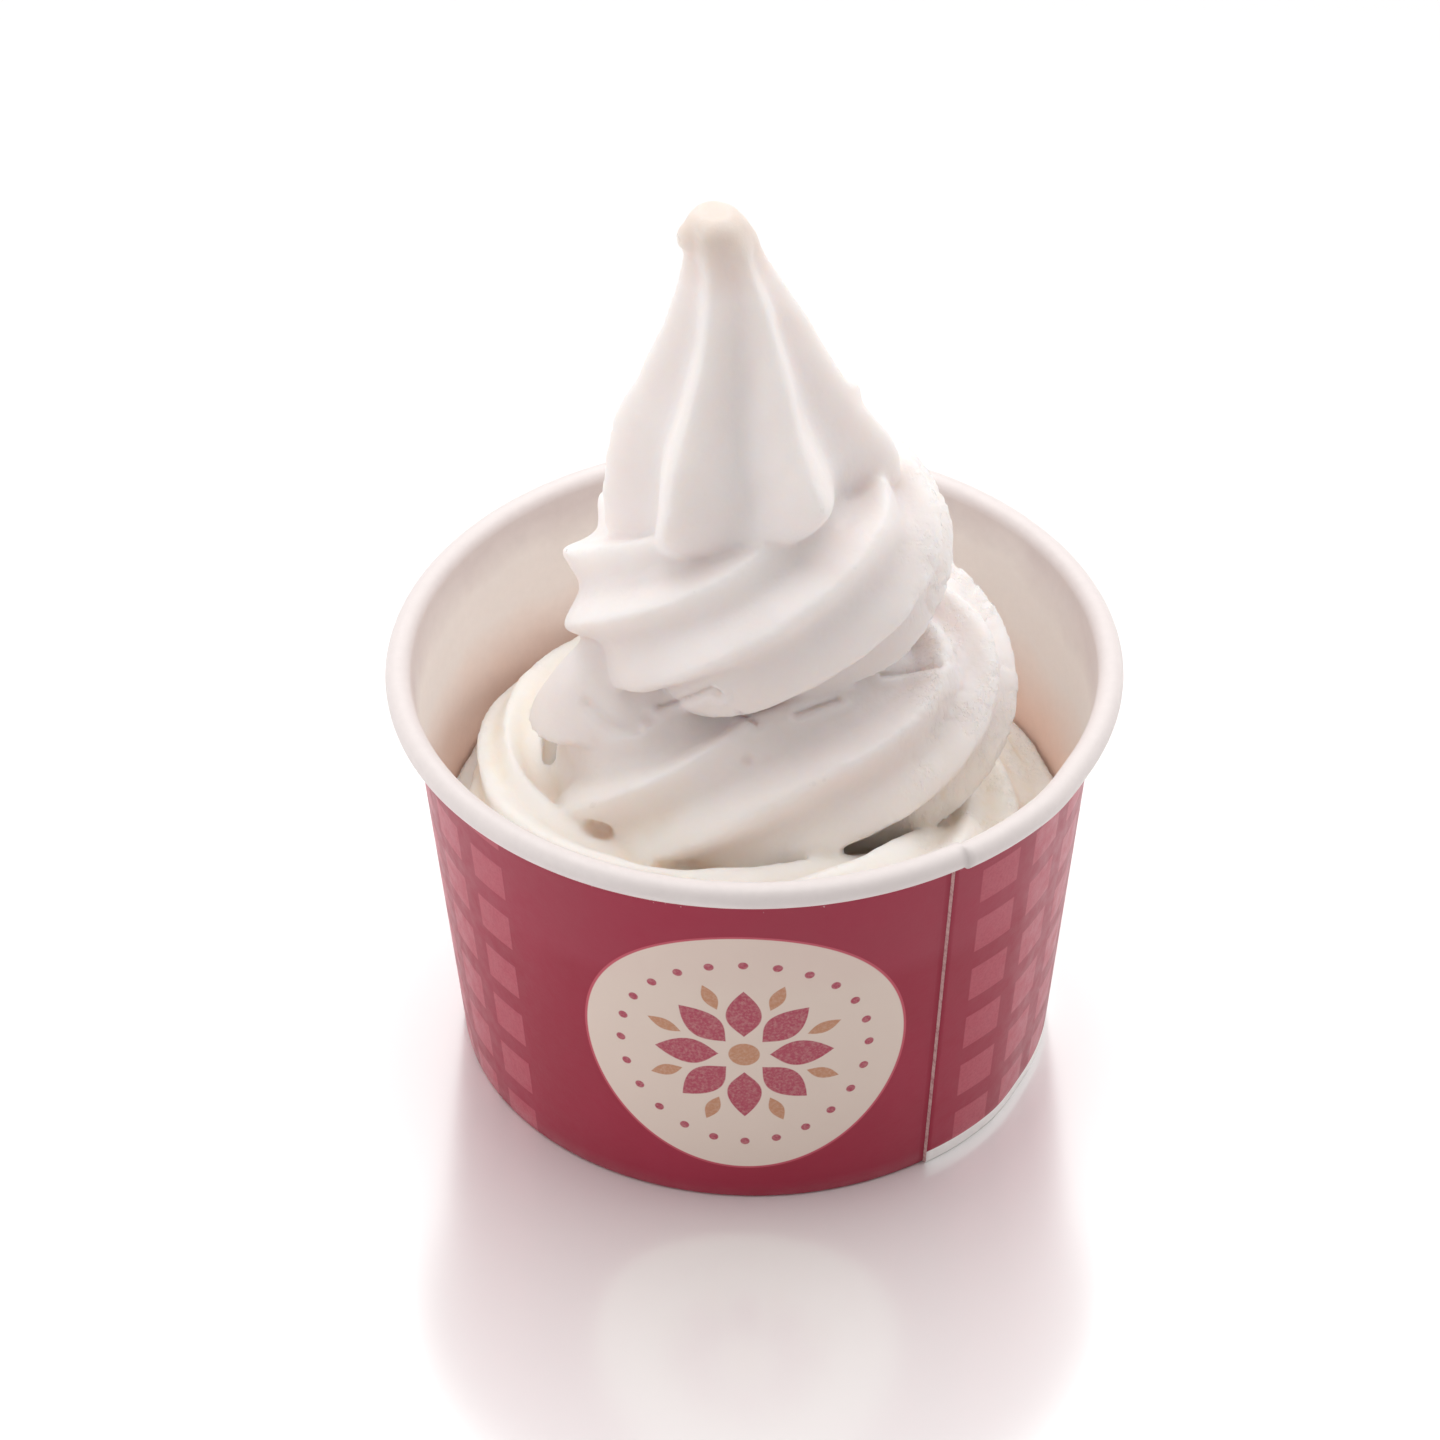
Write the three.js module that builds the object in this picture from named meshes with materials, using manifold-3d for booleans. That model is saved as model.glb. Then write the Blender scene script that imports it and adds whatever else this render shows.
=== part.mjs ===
// A paper cup of soft-serve frozen yogurt. Millimetres, +Z up, the cup's axis on Z and its foot on z = 0.
// Angles round the axis are counted from the front (-Y) towards +X.
// The cup is two pieces of board: a conical sidewall with a lapped seam, a rolled rim and a folded
// foot, and a recessed base whose skirt stands in that fold. The yogurt is one body: a filling in the
// cup, one ridged strand coiled on it, the places where it sagged, and the peak drawn up from its end.
import * as THREE from "three";
import Module from "manifold-3d";

const wasm = await Module();
wasm.setup();

const TURN = 360;
const CLEARANCE = 0.35; // between touching pieces

// ---- Cup sizes -------------------------------------------------------------------------------
const BOARD = 0.5; // thickness of the coated board
const FOOT_RADIUS = 38.88; // outer face of the wall, carried down to the floor
const WALL_TOP_RADIUS = 44.35; // outer face of the wall just under the rim
const WALL_TOP = 55.29;
const RIM_ROLL_RADIUS = 1.674;
const RIM_RADIUS = 47.5; // outermost point of the rolled rim
const CUP_HEIGHT = 58.64;
const RIM_STEPS = 10; // facets round the roll
const FOOT_ROUNDING = 0.5;
const FOOT_GROOVE = BOARD + 2 * CLEARANCE; // between wall and fold, where the base's skirt stands
const FOLD_HEIGHT = 5.4;
const BASE_UNDERSIDE = 6.5;
const BASE_TOP = BASE_UNDERSIDE + BOARD;
const CUP_FACETS = 64;

// The seam: the right-hand end of the board laps over the left-hand end.
const SEAM_OUTER_EDGE = 34; // degrees, cut edge of the end on top
const SEAM_INNER_EDGE = 50.5; // degrees, cut edge of the end beneath, on the inside
const SEAM_SETTLED = 64; // degrees, where the board on top is back on the cone
const SEAM_EDGE_HALF = 0.15; // degrees, half the width of a cut edge's step

// ---- Yogurt sizes ----------------------------------------------------------------------------
const RIDGES = 7; // points of the star nozzle
const STRAND_POINTS_PER_RIDGE = 4;
const RING_STEP = 12; // degrees of coil between sections
const STRAND_VALLEY = 0.24; // depth of the strand's valleys, as a share of its radius
const STRAND_VALLEY_POWER = 1.3; // 1 gives knife-edged ridges, 2 round ones
const FILL_TOP = 31;
const FILL_DOME = 3; // the filling's middle stands this much higher

// The strand's path: one station each 60 degrees of coil, as
// [reach along X, reach along Y, height of the middle, radius across, radius up, radius down].
const FIRST_STATION = -570;
const STATION_STEP = 60;
const STRAND_STATIONS = [
  [29.0, 29.0, 26.0, 7.5, 7.5, 7.5],
  [31.8, 32.0, 33.6, 6.4, 6.0, 8.0],
  [31.4, 31.4, 37.2, 5.9, 5.8, 8.5],
  [31.8, 31.8, 38.6, 7.2, 7.0, 8.5],
  [32.4, 32.4, 38.4, 8.6, 8.8, 8.5],
  [29.2, 31.0, 29.6, 7.6, 8.5, 8.5],
  [28.0, 28.0, 30.0, 9.5, 9.0, 9.0],
  [19.5, 21.0, 37.0, 10.8, 11.0, 10.5],
  [17.6, 19.4, 39.8, 9.8, 12.2, 10.8],
  [20.1, 15.5, 45.0, 12.2, 13.8, 12.5],
  [20.4, 11.7, 50.6, 12.4, 12.6, 15.2],
  [20.2, 11.8, 54.0, 12.2, 12.0, 14.6],
  [18.8, 12.5, 59.3, 12.4, 12.0, 12.0],
  [17.2, 13.0, 64.7, 12.7, 12.3, 13.5],
  [15.0, 12.2, 69.6, 12.9, 14.2, 14.8],
  [12.9, 10.5, 75.0, 13.1, 12.6, 16.6],
  [11.2, 7.8, 78.0, 13.4, 14.0, 17.4],
  [9.0, 6.3, 78.5, 12.8, 13.8, 15.6],
  [6.0, 4.6, 79.4, 12.4, 13.2, 14.5],
  [3.0, 2.0, 84.0, 12.0, 13.0, 13.0],
];
const COIL_CENTRE = [1.4, 0.8]; // X and Y of the coil's centre at turn 0
const COIL_DRIFT = [1.5, -0.7]; // how far the centre moves in each turn
// The nozzle doesn't turn with the coil, so each ridge keeps facing nearly the same way.
const RIDGE_FACES = -120; // degrees, at turn 0
const RIDGE_TWIST = 0.98; // turns of the section against the strand for each turn of its heading

// The core that the coils close up round: [height, radius].
const CORE_LEVELS = [
  [FILL_TOP, 22],
  [50, 14],
  [66, 10],
  [80, 8],
];

// The peak, from its foot to its tip: [height, X of the middle, Y of the middle, radius over the
// ridges, depth of the valleys as a share, rise of the section per mm forwards, where one ridge faces].
const PEAK_STATIONS = [
  [77.0, -2.8, -1.5, 11.0, 0.12, 0.6, -28],
  [79.5, -2.2, -1.5, 15.6, 0.24, 0.6, -28],
  [83.0, -1.2, -1.5, 18.0, 0.31, 0.52, -28],
  [88.0, -0.4, -1.6, 18.7, 0.32, 0.34, -28],
  [93.0, -0.3, -1.8, 18.3, 0.32, 0.16, -28],
  [98.0, -1.0, -2.0, 16.4, 0.32, 0.07, -27],
  [103.0, -1.5, -2.0, 13.7, 0.31, 0.0, -26],
  [108.0, -2.0, -2.0, 11.1, 0.3, 0.0, -24],
  [113.0, -2.4, -2.0, 8.9, 0.28, 0.0, -21],
  [118.0, -2.8, -2.0, 7.0, 0.25, 0.0, -19],
  [122.5, -3.4, -2.0, 5.4, 0.2, 0.0, -19],
  [125.6, -4.0, -2.0, 4.7, 0.1, 0.0, -19],
  [127.8, -4.6, -2.0, 3.5, 0.03, 0.0, -19],
  [129.0, -4.9, -2.0, 1.6, 0.0, 0.0, -19],
];
const PEAK_FOOT_FRONT = 8; // degrees: the way the peak's foot rises
const PEAK_VALLEY_POWER = 1.4;
const PEAK_POINTS_PER_RIDGE = 6;
const PEAK_SPREAD = 14; // degrees, how far the ridges are drawn apart at the front

// The bead at the tip, where the strand broke off: X, Y and height of its middle, and its radii.
const TIP_CURL = [-7.3, -2.6, 125.6];
const TIP_CURL_RADII = [2.1, 2.1, 2.1];

// The pad at the left, where the upper coil sank onto the lower one: a lens with a sharp edge.
const COIL_PAD = [-14.8, -0.8, 55.6];
const COIL_PAD_RADII = [15.0, 12.0, 10.0];
const COIL_PAD_TILT = 23; // degrees, its left end down
const COIL_PAD_POINT = 0.16; // how far its left end is drawn out to a point
const COIL_PAD_FLATNESS = 0.7; // 1 gives straight slopes from edge to middle, 0.5 round ones
const COIL_PAD_LEVELS = 9;

// The heel below it: the body of the lower coil, where its ridges run out.
const COIL_HEEL = [-16.8, -1.0, 41.3];
const COIL_HEEL_RADII = [10.2, 10.8, 11.2];
const BEAD_LEVELS = 10;
const BEAD_FACETS = 24;

// ---- Small helpers ---------------------------------------------------------------------------
const radians = THREE.MathUtils.degToRad;

function onCylinder(radius, angle, z) {
  return [radius * Math.sin(radians(angle)), -radius * Math.cos(radians(angle)), z];
}

// A closed mesh from rings of equally many points. The rings join up in a loop, or end in flat caps.
function ringSolid(rings, { loop = false } = {}) {
  const count = rings[0].length;
  const positions = rings.flat(2);
  const triangles = [];
  const spans = loop ? rings.length : rings.length - 1;
  for (let i = 0; i < spans; i++) {
    const here = i * count;
    const next = ((i + 1) % rings.length) * count;
    for (let j = 0; j < count; j++) {
      const k = (j + 1) % count;
      triangles.push(here + j, here + k, next + k);
      triangles.push(here + j, next + k, next + j);
    }
  }
  if (!loop) {
    addCap(positions, triangles, rings[0], 0, true);
    addCap(positions, triangles, rings.at(-1), (rings.length - 1) * count, false);
  }
  const mesh = new wasm.Mesh({
    numProp: 3,
    vertProperties: new Float32Array(positions),
    triVerts: new Uint32Array(triangles),
  });
  return new wasm.Manifold(mesh);
}

// A fan from the ring's middle point.
function addCap(positions, triangles, ring, start, isFirst) {
  const middle = positions.length / 3;
  for (let axis = 0; axis < 3; axis++) {
    positions.push(ring.reduce((sum, point) => sum + point[axis], 0) / ring.length);
  }
  for (let j = 0; j < ring.length; j++) {
    const k = (j + 1) % ring.length;
    if (isFirst) triangles.push(middle, start + k, start + j);
    else triangles.push(middle, start + j, start + k);
  }
}

function meshOf(name, solid, material) {
  const { vertProperties, triVerts } = solid.getMesh();
  const geometry = new THREE.BufferGeometry();
  geometry.setAttribute("position", new THREE.BufferAttribute(vertProperties, 3));
  geometry.setIndex(new THREE.BufferAttribute(triVerts, 1));
  geometry.computeVertexNormals();
  const mesh = new THREE.Mesh(geometry, material);
  mesh.name = name;
  return mesh;
}

// A smooth curve through evenly spaced stations: each column of the table at position t.
function throughStations(stations, t) {
  const last = stations.length - 1;
  const i = Math.min(Math.max(Math.floor(t), 0), last - 1);
  const f = Math.min(Math.max(t - i, 0), 1);
  const [before, from, to, after] = [i - 1, i, i + 1, i + 2].map(
    (n) => stations[Math.min(Math.max(n, 0), last)],
  );
  return from.map((value, column) => {
    const slopeFrom = (to[column] - before[column]) / 2;
    const slopeTo = (after[column] - value) / 2;
    const rise = to[column] - value;
    const bend = 3 * rise - 2 * slopeFrom - slopeTo;
    const twist = slopeFrom + slopeTo - 2 * rise;
    return value + f * (slopeFrom + f * (bend + f * twist));
  });
}

// ---- The cup's sidewall ----------------------------------------------------------------------
function wallRadius(z) {
  return FOOT_RADIUS + ((WALL_TOP_RADIUS - FOOT_RADIUS) * z) / WALL_TOP;
}

// What stands in the cup keeps this far from the axis.
function insideRadius(z) {
  return wallRadius(z) - BOARD - CLEARANCE;
}

// The wall cut by a plane through the axis, up the inside and down the outside, as
// [radius, height, face], where the face says what the seam does to that point.
function sidewallProfile() {
  const rimMiddle = [RIM_RADIUS - RIM_ROLL_RADIUS, CUP_HEIGHT - RIM_ROLL_RADIUS];
  const fold = BOARD + FOOT_GROOVE;
  const outside = [
    [wallRadius(0) - FOOT_ROUNDING, 0, "outer"],
    [wallRadius(FOOT_ROUNDING), FOOT_ROUNDING, "outer"],
    [wallRadius(WALL_TOP / 2), WALL_TOP / 2, "outer"],
    [wallRadius(WALL_TOP), WALL_TOP, "outer"],
  ];
  const firstAngle = -130;
  const lastAngle = 185;
  const roll = [];
  for (let i = 0; i <= RIM_STEPS; i++) {
    const angle = radians(firstAngle + ((lastAngle - firstAngle) * i) / RIM_STEPS);
    const radius = rimMiddle[0] + RIM_ROLL_RADIUS * Math.cos(angle);
    const height = rimMiddle[1] + RIM_ROLL_RADIUS * Math.sin(angle);
    roll.push([radius, height, i < RIM_STEPS ? "outer" : "inner"]);
  }
  const inside = [
    [wallRadius(WALL_TOP / 2) - BOARD, WALL_TOP / 2, "inner"],
    [wallRadius(BOARD) - BOARD, BOARD, "inner"],
    [wallRadius(BOARD) - fold, BOARD, "fold"],
    [wallRadius(FOLD_HEIGHT) - fold, FOLD_HEIGHT, "fold"],
    [wallRadius(FOLD_HEIGHT) - fold - BOARD, FOLD_HEIGHT, "fold"],
    [wallRadius(FOOT_ROUNDING) - fold - BOARD, FOOT_ROUNDING, "fold"],
    [wallRadius(0) - fold, 0, "fold"],
  ];
  return [...outside, ...roll, ...inside].reverse();
}

// How far the seam lifts a face off the cone at an angle. The fold at the foot isn't lifted.
function seamLift(angle, face) {
  const start = face === "outer" ? SEAM_OUTER_EDGE : SEAM_INNER_EDGE;
  if (face === "fold" || angle <= start || angle >= SEAM_SETTLED) return 0;
  if (angle <= SEAM_INNER_EDGE) return BOARD;
  const settled = (angle - SEAM_INNER_EDGE) / (SEAM_SETTLED - SEAM_INNER_EDGE);
  return (BOARD * (1 + Math.cos(Math.PI * settled))) / 2;
}

// Angles of the cuts, with a pair close together at each edge of the seam.
function sidewallAngles() {
  const angles = [];
  const spans = [
    [SEAM_OUTER_EDGE, SEAM_INNER_EDGE],
    [SEAM_INNER_EDGE, SEAM_SETTLED],
    [SEAM_SETTLED, SEAM_OUTER_EDGE + TURN],
  ];
  for (const [start, end] of spans) {
    const steps = Math.max(2, Math.round(((end - start) * CUP_FACETS) / TURN));
    if (start < SEAM_SETTLED) angles.push(start + SEAM_EDGE_HALF);
    else angles.push(start);
    for (let i = 1; i < steps; i++) angles.push(start + ((end - start) * i) / steps);
    if (end !== SEAM_SETTLED) angles.push(end - SEAM_EDGE_HALF);
  }
  return angles;
}

function cupSidewall(material) {
  const profile = sidewallProfile();
  const rings = sidewallAngles().map((angle) =>
    profile.map(([radius, height, face]) =>
      onCylinder(radius + seamLift(angle, face), angle, height),
    ),
  );
  return meshOf("cup_sidewall", ringSolid(rings, { loop: true }), material);
}

// ---- The cup's base --------------------------------------------------------------------------
function cupBase(material) {
  const skirtFoot = BOARD + CLEARANCE;
  const profile = [
    [0, BASE_UNDERSIDE],
    [insideRadius(BASE_UNDERSIDE) - BOARD, BASE_UNDERSIDE],
    [insideRadius(skirtFoot) - BOARD, skirtFoot],
    [insideRadius(skirtFoot), skirtFoot],
    [insideRadius(BASE_TOP), BASE_TOP],
    [0, BASE_TOP],
  ].map(([radius, height]) => new THREE.Vector2(radius, height));
  const mesh = new THREE.Mesh(new THREE.LatheGeometry(profile, CUP_FACETS), material);
  mesh.rotation.x = Math.PI / 2;
  mesh.name = "cup_base";
  return mesh;
}

// ---- The frozen yogurt -----------------------------------------------------------------------
// Share of the full radius at an angle from a ridge.
function starShare(angleFromRidge, valley, power) {
  return 1 - valley * Math.abs(Math.sin(radians((angleFromRidge * RIDGES) / 2))) ** power;
}

// A round solid from levels of [height, radius].
function roundSolid(levels, [x, y] = [0, 0]) {
  const rings = levels.map(([height, radius]) =>
    Array.from({ length: CUP_FACETS }, (_, i) => {
      const [dx, dy] = onCylinder(radius, (TURN * i) / CUP_FACETS, height);
      return [x + dx, y + dy, height];
    }),
  );
  return ringSolid(rings);
}

function yogurtFilling() {
  const bottom = BASE_TOP + CLEARANCE;
  return roundSolid([
    [bottom, insideRadius(bottom)],
    [FILL_TOP - 1, insideRadius(FILL_TOP - 1)],
    [FILL_TOP, insideRadius(FILL_TOP) - 1],
    [FILL_TOP + FILL_DOME, insideRadius(FILL_TOP) / 2],
  ]);
}

function coilCentre(turn) {
  return COIL_CENTRE.map((start, axis) => start + (COIL_DRIFT[axis] * turn) / TURN);
}

// The middle of the strand at an angle of coil, and its radii there.
function strandAt(turn) {
  const station = (turn - FIRST_STATION) / STATION_STEP;
  const [reachX, reachY, height, across, up, down] = throughStations(STRAND_STATIONS, station);
  const [x, y] = coilCentre(turn);
  const middle = new THREE.Vector3(
    x + reachX * Math.sin(radians(turn)),
    y - reachY * Math.cos(radians(turn)),
    height,
  );
  return { middle, across, up, down };
}

// The way that the strand's outer side faces, which is also its heading counted from +X.
function strandHeading(turn) {
  const along = strandAt(turn + 1).middle.sub(strandAt(turn - 1).middle);
  const heading = THREE.MathUtils.radToDeg(Math.atan2(along.y, along.x));
  return heading + TURN * Math.round((turn - heading) / TURN);
}

// One section of the strand: a star, upright and square to the path.
function strandRing(turn) {
  const { middle, across, up, down } = strandAt(turn);
  const heading = strandHeading(turn);
  const ridge = 90 - RIDGE_TWIST * (heading - RIDGE_FACES); // a ridge's angle from straight up
  const count = RIDGES * STRAND_POINTS_PER_RIDGE;
  return Array.from({ length: count }, (_, i) => {
    const fromRidge = (TURN * i) / count;
    const lean = radians(ridge + fromRidge);
    const share = starShare(fromRidge, STRAND_VALLEY, STRAND_VALLEY_POWER);
    const tall = Math.cos(lean) > 0 ? up : down;
    const [dx, dy] = onCylinder(across * share * Math.sin(lean), heading, 0);
    return [middle.x + dx, middle.y + dy, middle.z + tall * share * Math.cos(lean)];
  });
}

function yogurtStrand() {
  const last = FIRST_STATION + STATION_STEP * (STRAND_STATIONS.length - 1);
  const rings = [];
  for (let turn = FIRST_STATION; turn <= last; turn += RING_STEP) rings.push(strandRing(turn));
  return ringSolid(rings);
}

function yogurtPeak() {
  const count = RIDGES * PEAK_POINTS_PER_RIDGE;
  const rings = PEAK_STATIONS.map(([height, x, y, radius, valley, rise, faces]) =>
    Array.from({ length: count }, (_, i) => {
      const fromRidge = (TURN * i) / count;
      const even = faces + fromRidge;
      const angle = even + PEAK_SPREAD * Math.sin(radians(even));
      const reach = radius * starShare(fromRidge, valley, PEAK_VALLEY_POWER);
      const [dx, dy] = onCylinder(reach, angle, height);
      return [x + dx, y + dy, height + rise * reach * Math.cos(radians(angle - PEAK_FOOT_FRONT))];
    }),
  );
  return ringSolid(rings);
}

// An ellipsoid.
function beadSolid([x, y, z], [radiusX, radiusY, radiusUp]) {
  const rings = Array.from({ length: BEAD_LEVELS }, (_, i) => {
    const tilt = Math.PI * ((i + 0.5) / BEAD_LEVELS);
    return Array.from({ length: BEAD_FACETS }, (_, j) => {
      const [dx, dy] = onCylinder(Math.sin(tilt), (TURN * j) / BEAD_FACETS, 0);
      return [x + dx * radiusX, y + dy * radiusY, z - Math.cos(tilt) * radiusUp];
    });
  });
  return ringSolid(rings);
}

function coilPad() {
  const lean = radians(COIL_PAD_TILT);
  const rings = Array.from({ length: COIL_PAD_LEVELS }, (_, i) => {
    const level = 0.98 * (-1 + (2 * i) / (COIL_PAD_LEVELS - 1));
    const reach = (1 - Math.abs(level)) ** COIL_PAD_FLATNESS;
    return Array.from({ length: BEAD_FACETS }, (_, j) => {
      const angle = (TURN * j) / BEAD_FACETS;
      const towardsPoint = Math.abs(Math.cos(radians(angle + 90) / 2)) ** 8;
      const drawn = 1 + COIL_PAD_POINT * (towardsPoint - 0.5);
      const [x, y] = onCylinder(reach * drawn, angle, 0);
      const along = x * COIL_PAD_RADII[0];
      const up = level * COIL_PAD_RADII[2];
      return [
        COIL_PAD[0] + along * Math.cos(lean) - up * Math.sin(lean),
        COIL_PAD[1] + y * COIL_PAD_RADII[1],
        COIL_PAD[2] + along * Math.sin(lean) + up * Math.cos(lean),
      ];
    });
  });
  return ringSolid(rings);
}

// The room inside the cup and above it, clear of the wall all round.
function roomForYogurt() {
  const bottom = BASE_TOP + CLEARANCE;
  const top = PEAK_STATIONS.at(-1)[0] + CLEARANCE;
  return roundSolid([
    [bottom, insideRadius(bottom)],
    [WALL_TOP, insideRadius(WALL_TOP)],
    [top, insideRadius(WALL_TOP)],
  ]);
}

// The outer skin alone, so that no hollow is shut in between the coils. The mesh is rounded to its
// stored precision first, because rounding can pinch off a small hollow.
function filledIn(solid) {
  const { vertProperties, triVerts } = solid.getMesh();
  const stored = new wasm.Manifold(new wasm.Mesh({ numProp: 3, vertProperties, triVerts }));
  return stored.decompose().reduce((most, piece) => (piece.volume() > most.volume() ? piece : most));
}

function frozenYogurt(material) {
  const piled = [
    roundSolid(CORE_LEVELS, COIL_CENTRE),
    yogurtStrand(),
    yogurtPeak(),
    coilPad(),
    beadSolid(COIL_HEEL, COIL_HEEL_RADII),
    beadSolid(TIP_CURL, TIP_CURL_RADII),
  ].reduce((whole, piece) => whole.add(piece), yogurtFilling());
  return meshOf("frozen_yogurt", filledIn(piled.intersect(roomForYogurt())), material);
}

// ---- The whole -------------------------------------------------------------------------------
const printedBoard = new THREE.MeshStandardMaterial({ color: 0x9c2c4a, roughness: 0.5 });
const whiteBoard = new THREE.MeshStandardMaterial({ color: 0xf3efec, roughness: 0.55 });
const yogurt = new THREE.MeshStandardMaterial({ color: 0xf4ece6, roughness: 0.4 });

const part = new THREE.Group();
part.add(cupSidewall(printedBoard));
part.add(cupBase(whiteBoard));
part.add(frozenYogurt(yogurt));

export default part;
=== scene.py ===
"""A paper cup of soft-serve frozen yogurt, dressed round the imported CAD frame.

Shapes are made in millimetres, with +Z up and the cup's axis on Z, and then scaled to metres.
Materials, lights and the camera are in metres, and scale the sizes that are marked mm.
Angles round the axis are in degrees from the front (-Y) towards +X.
"""

import math

import bmesh
import bpy
import numpy as np
from mathutils import Matrix, Vector

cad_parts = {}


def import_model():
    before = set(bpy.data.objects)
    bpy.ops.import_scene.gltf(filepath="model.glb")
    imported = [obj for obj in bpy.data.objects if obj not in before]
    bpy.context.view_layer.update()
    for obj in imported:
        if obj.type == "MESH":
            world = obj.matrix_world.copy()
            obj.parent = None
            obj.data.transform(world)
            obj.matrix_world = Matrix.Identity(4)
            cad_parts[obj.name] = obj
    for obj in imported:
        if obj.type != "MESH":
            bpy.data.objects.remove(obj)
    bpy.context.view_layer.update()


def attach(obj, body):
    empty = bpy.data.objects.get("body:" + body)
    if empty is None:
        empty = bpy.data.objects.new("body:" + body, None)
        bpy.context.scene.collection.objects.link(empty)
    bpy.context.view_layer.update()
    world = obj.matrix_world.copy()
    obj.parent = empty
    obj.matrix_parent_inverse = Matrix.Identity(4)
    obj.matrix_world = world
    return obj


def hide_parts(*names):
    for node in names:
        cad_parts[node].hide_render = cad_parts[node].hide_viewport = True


MM = 0.001
TURN = 360.0
CLEARANCE = 0.35  # mm between neighbouring pieces

# ---- Cup sizes in mm, as in the CAD part -------------------------------------------------------
BOARD = 0.5
FOOT_RADIUS = 38.88
WALL_TOP_RADIUS = 44.35
WALL_TOP = 55.29
RIM_ROLL_RADIUS = 1.674
RIM_RADIUS = 47.5
CUP_HEIGHT = 58.64
ROLL_START = -130  # degrees round the rolled rim's section, from straight outwards
ROLL_END = 185
ROLL_BLEND = 0.6  # from the wall's top down to where the inside leaves the roll
FOOT_ROUNDING = 0.5
FOOT_ROUNDING_SHARE = 0.3  # of the rounding, at its middle
FOOT_GROOVE = BOARD + 2 * CLEARANCE
FOLD_HEIGHT = 5.4
BASE_UNDERSIDE = 6.5
BASE_TOP = BASE_UNDERSIDE + BOARD
BASE_BEVEL = 0.6
AXIS_HOLE = 0.01  # keeps the base's innermost points apart
# Degrees round the wall: the outer layer's cut edge, the inner layer's cut edge, and where the outer
# layer has settled onto the cone.
SEAM_OUTER_EDGE = 34.0
SEAM_INNER_EDGE = 50.5
SEAM_SETTLED = 64.0
SEAM_EDGE_HALF = 0.06  # half the width of the step at a cut edge

WALL_STEPS = 24  # rows of faces up the wall
ROLL_STEPS = 30  # faces round the rolled rim
CUP_FACETS = 300
LAP_FACETS = 16  # of them across the lap
SETTLING_FACETS = 14  # of them from there until the outer layer has settled

# ---- Yogurt sizes in mm, as in the CAD part unless they say otherwise ----------------------------
RIDGES = 7
STRAND_VALLEY = 0.24  # depth of the valleys between ridges, as a share of the radius
STRAND_VALLEY_POWER = 1.3
FILL_TOP = 31.0
FILL_DOME = 3.0
FILL_EDGE = 1.0  # bevel round the filling's top
FIRST_STATION = -570.0  # degrees of coil
STATION_STEP = 60.0
# [reach along X, reach along Y, height of the middle, radius across, radius up, radius down]
STRAND_STATIONS = np.array(
    [
        [29.0, 29.0, 26.0, 7.5, 7.5, 7.5],
        [31.8, 32.0, 33.6, 6.4, 6.0, 8.0],
        [31.4, 31.4, 37.2, 5.9, 5.8, 8.5],
        [31.8, 31.8, 38.6, 7.2, 7.0, 8.5],
        [32.4, 32.4, 38.4, 8.6, 8.8, 8.5],
        [29.2, 31.0, 29.6, 7.6, 8.5, 8.5],
        [28.0, 28.0, 30.0, 9.5, 9.0, 9.0],
        [19.5, 21.0, 37.0, 10.8, 11.0, 10.5],
        [17.6, 19.4, 39.8, 9.8, 12.2, 10.8],
        [20.1, 15.5, 45.0, 12.2, 13.8, 12.5],
        [20.4, 11.7, 50.6, 12.4, 12.6, 15.2],
        [20.2, 11.8, 54.0, 12.2, 12.0, 14.6],
        [18.8, 12.5, 59.3, 12.4, 12.0, 12.0],
        [17.2, 13.0, 64.7, 12.7, 12.3, 13.5],
        [15.0, 12.2, 69.6, 12.9, 14.2, 14.8],
        [12.9, 10.5, 75.0, 13.1, 12.6, 16.6],
        [11.2, 7.8, 78.0, 13.4, 14.0, 17.4],
        [9.0, 6.3, 78.5, 12.8, 13.8, 15.6],
        [6.0, 4.6, 79.4, 12.4, 13.2, 14.5],
        [3.0, 2.0, 84.0, 12.0, 13.0, 13.0],
    ]
)
COIL_CENTRE = np.array([1.4, 0.8])
COIL_DRIFT = np.array([1.5, -0.7])  # of the centre, for each turn
RIDGE_FACES = -120.0  # heading in degrees at which one ridge points level outwards
RIDGE_TWIST = 0.98  # of the ridges round the strand, for each degree of its bend
# [height, radius] of the body inside the coils
CORE_LEVELS = [(FILL_TOP, 22.0), (50.0, 14.0), (66.0, 10.0), (80.0, 8.0)]

# [height, X, Y, radius over the ridges, valley share, rise per mm forwards, where one ridge faces]
PEAK_STATIONS = np.array(
    [
        [77.0, -2.8, -1.5, 11.0, 0.12, 0.6, -28],
        [79.5, -2.2, -1.5, 15.6, 0.24, 0.6, -28],
        [83.0, -1.2, -1.5, 18.0, 0.31, 0.52, -28],
        [88.0, -0.4, -1.6, 18.7, 0.32, 0.34, -28],
        [93.0, -0.3, -1.8, 18.3, 0.32, 0.16, -28],
        [98.0, -1.0, -2.0, 16.4, 0.32, 0.07, -27],
        [103.0, -1.5, -2.0, 13.7, 0.31, 0.0, -26],
        [108.0, -2.0, -2.0, 11.1, 0.3, 0.0, -24],
        [113.0, -2.4, -2.0, 8.9, 0.28, 0.0, -21],
        [118.0, -2.8, -2.0, 7.0, 0.25, 0.0, -19],
        [122.5, -3.4, -2.0, 5.4, 0.2, 0.0, -19],
        [125.6, -4.0, -2.0, 4.7, 0.1, 0.0, -19],
        [127.8, -4.6, -2.0, 3.5, 0.03, 0.0, -19],
        [129.0, -4.9, -2.0, 1.6, 0.0, 0.0, -19],
    ]
)
PEAK_FOOT_FRONT = 8.0  # degrees, the way the peak's foot rises
PEAK_SPREAD = 14.0  # degrees, how far the ridges are drawn apart at the front
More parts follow.
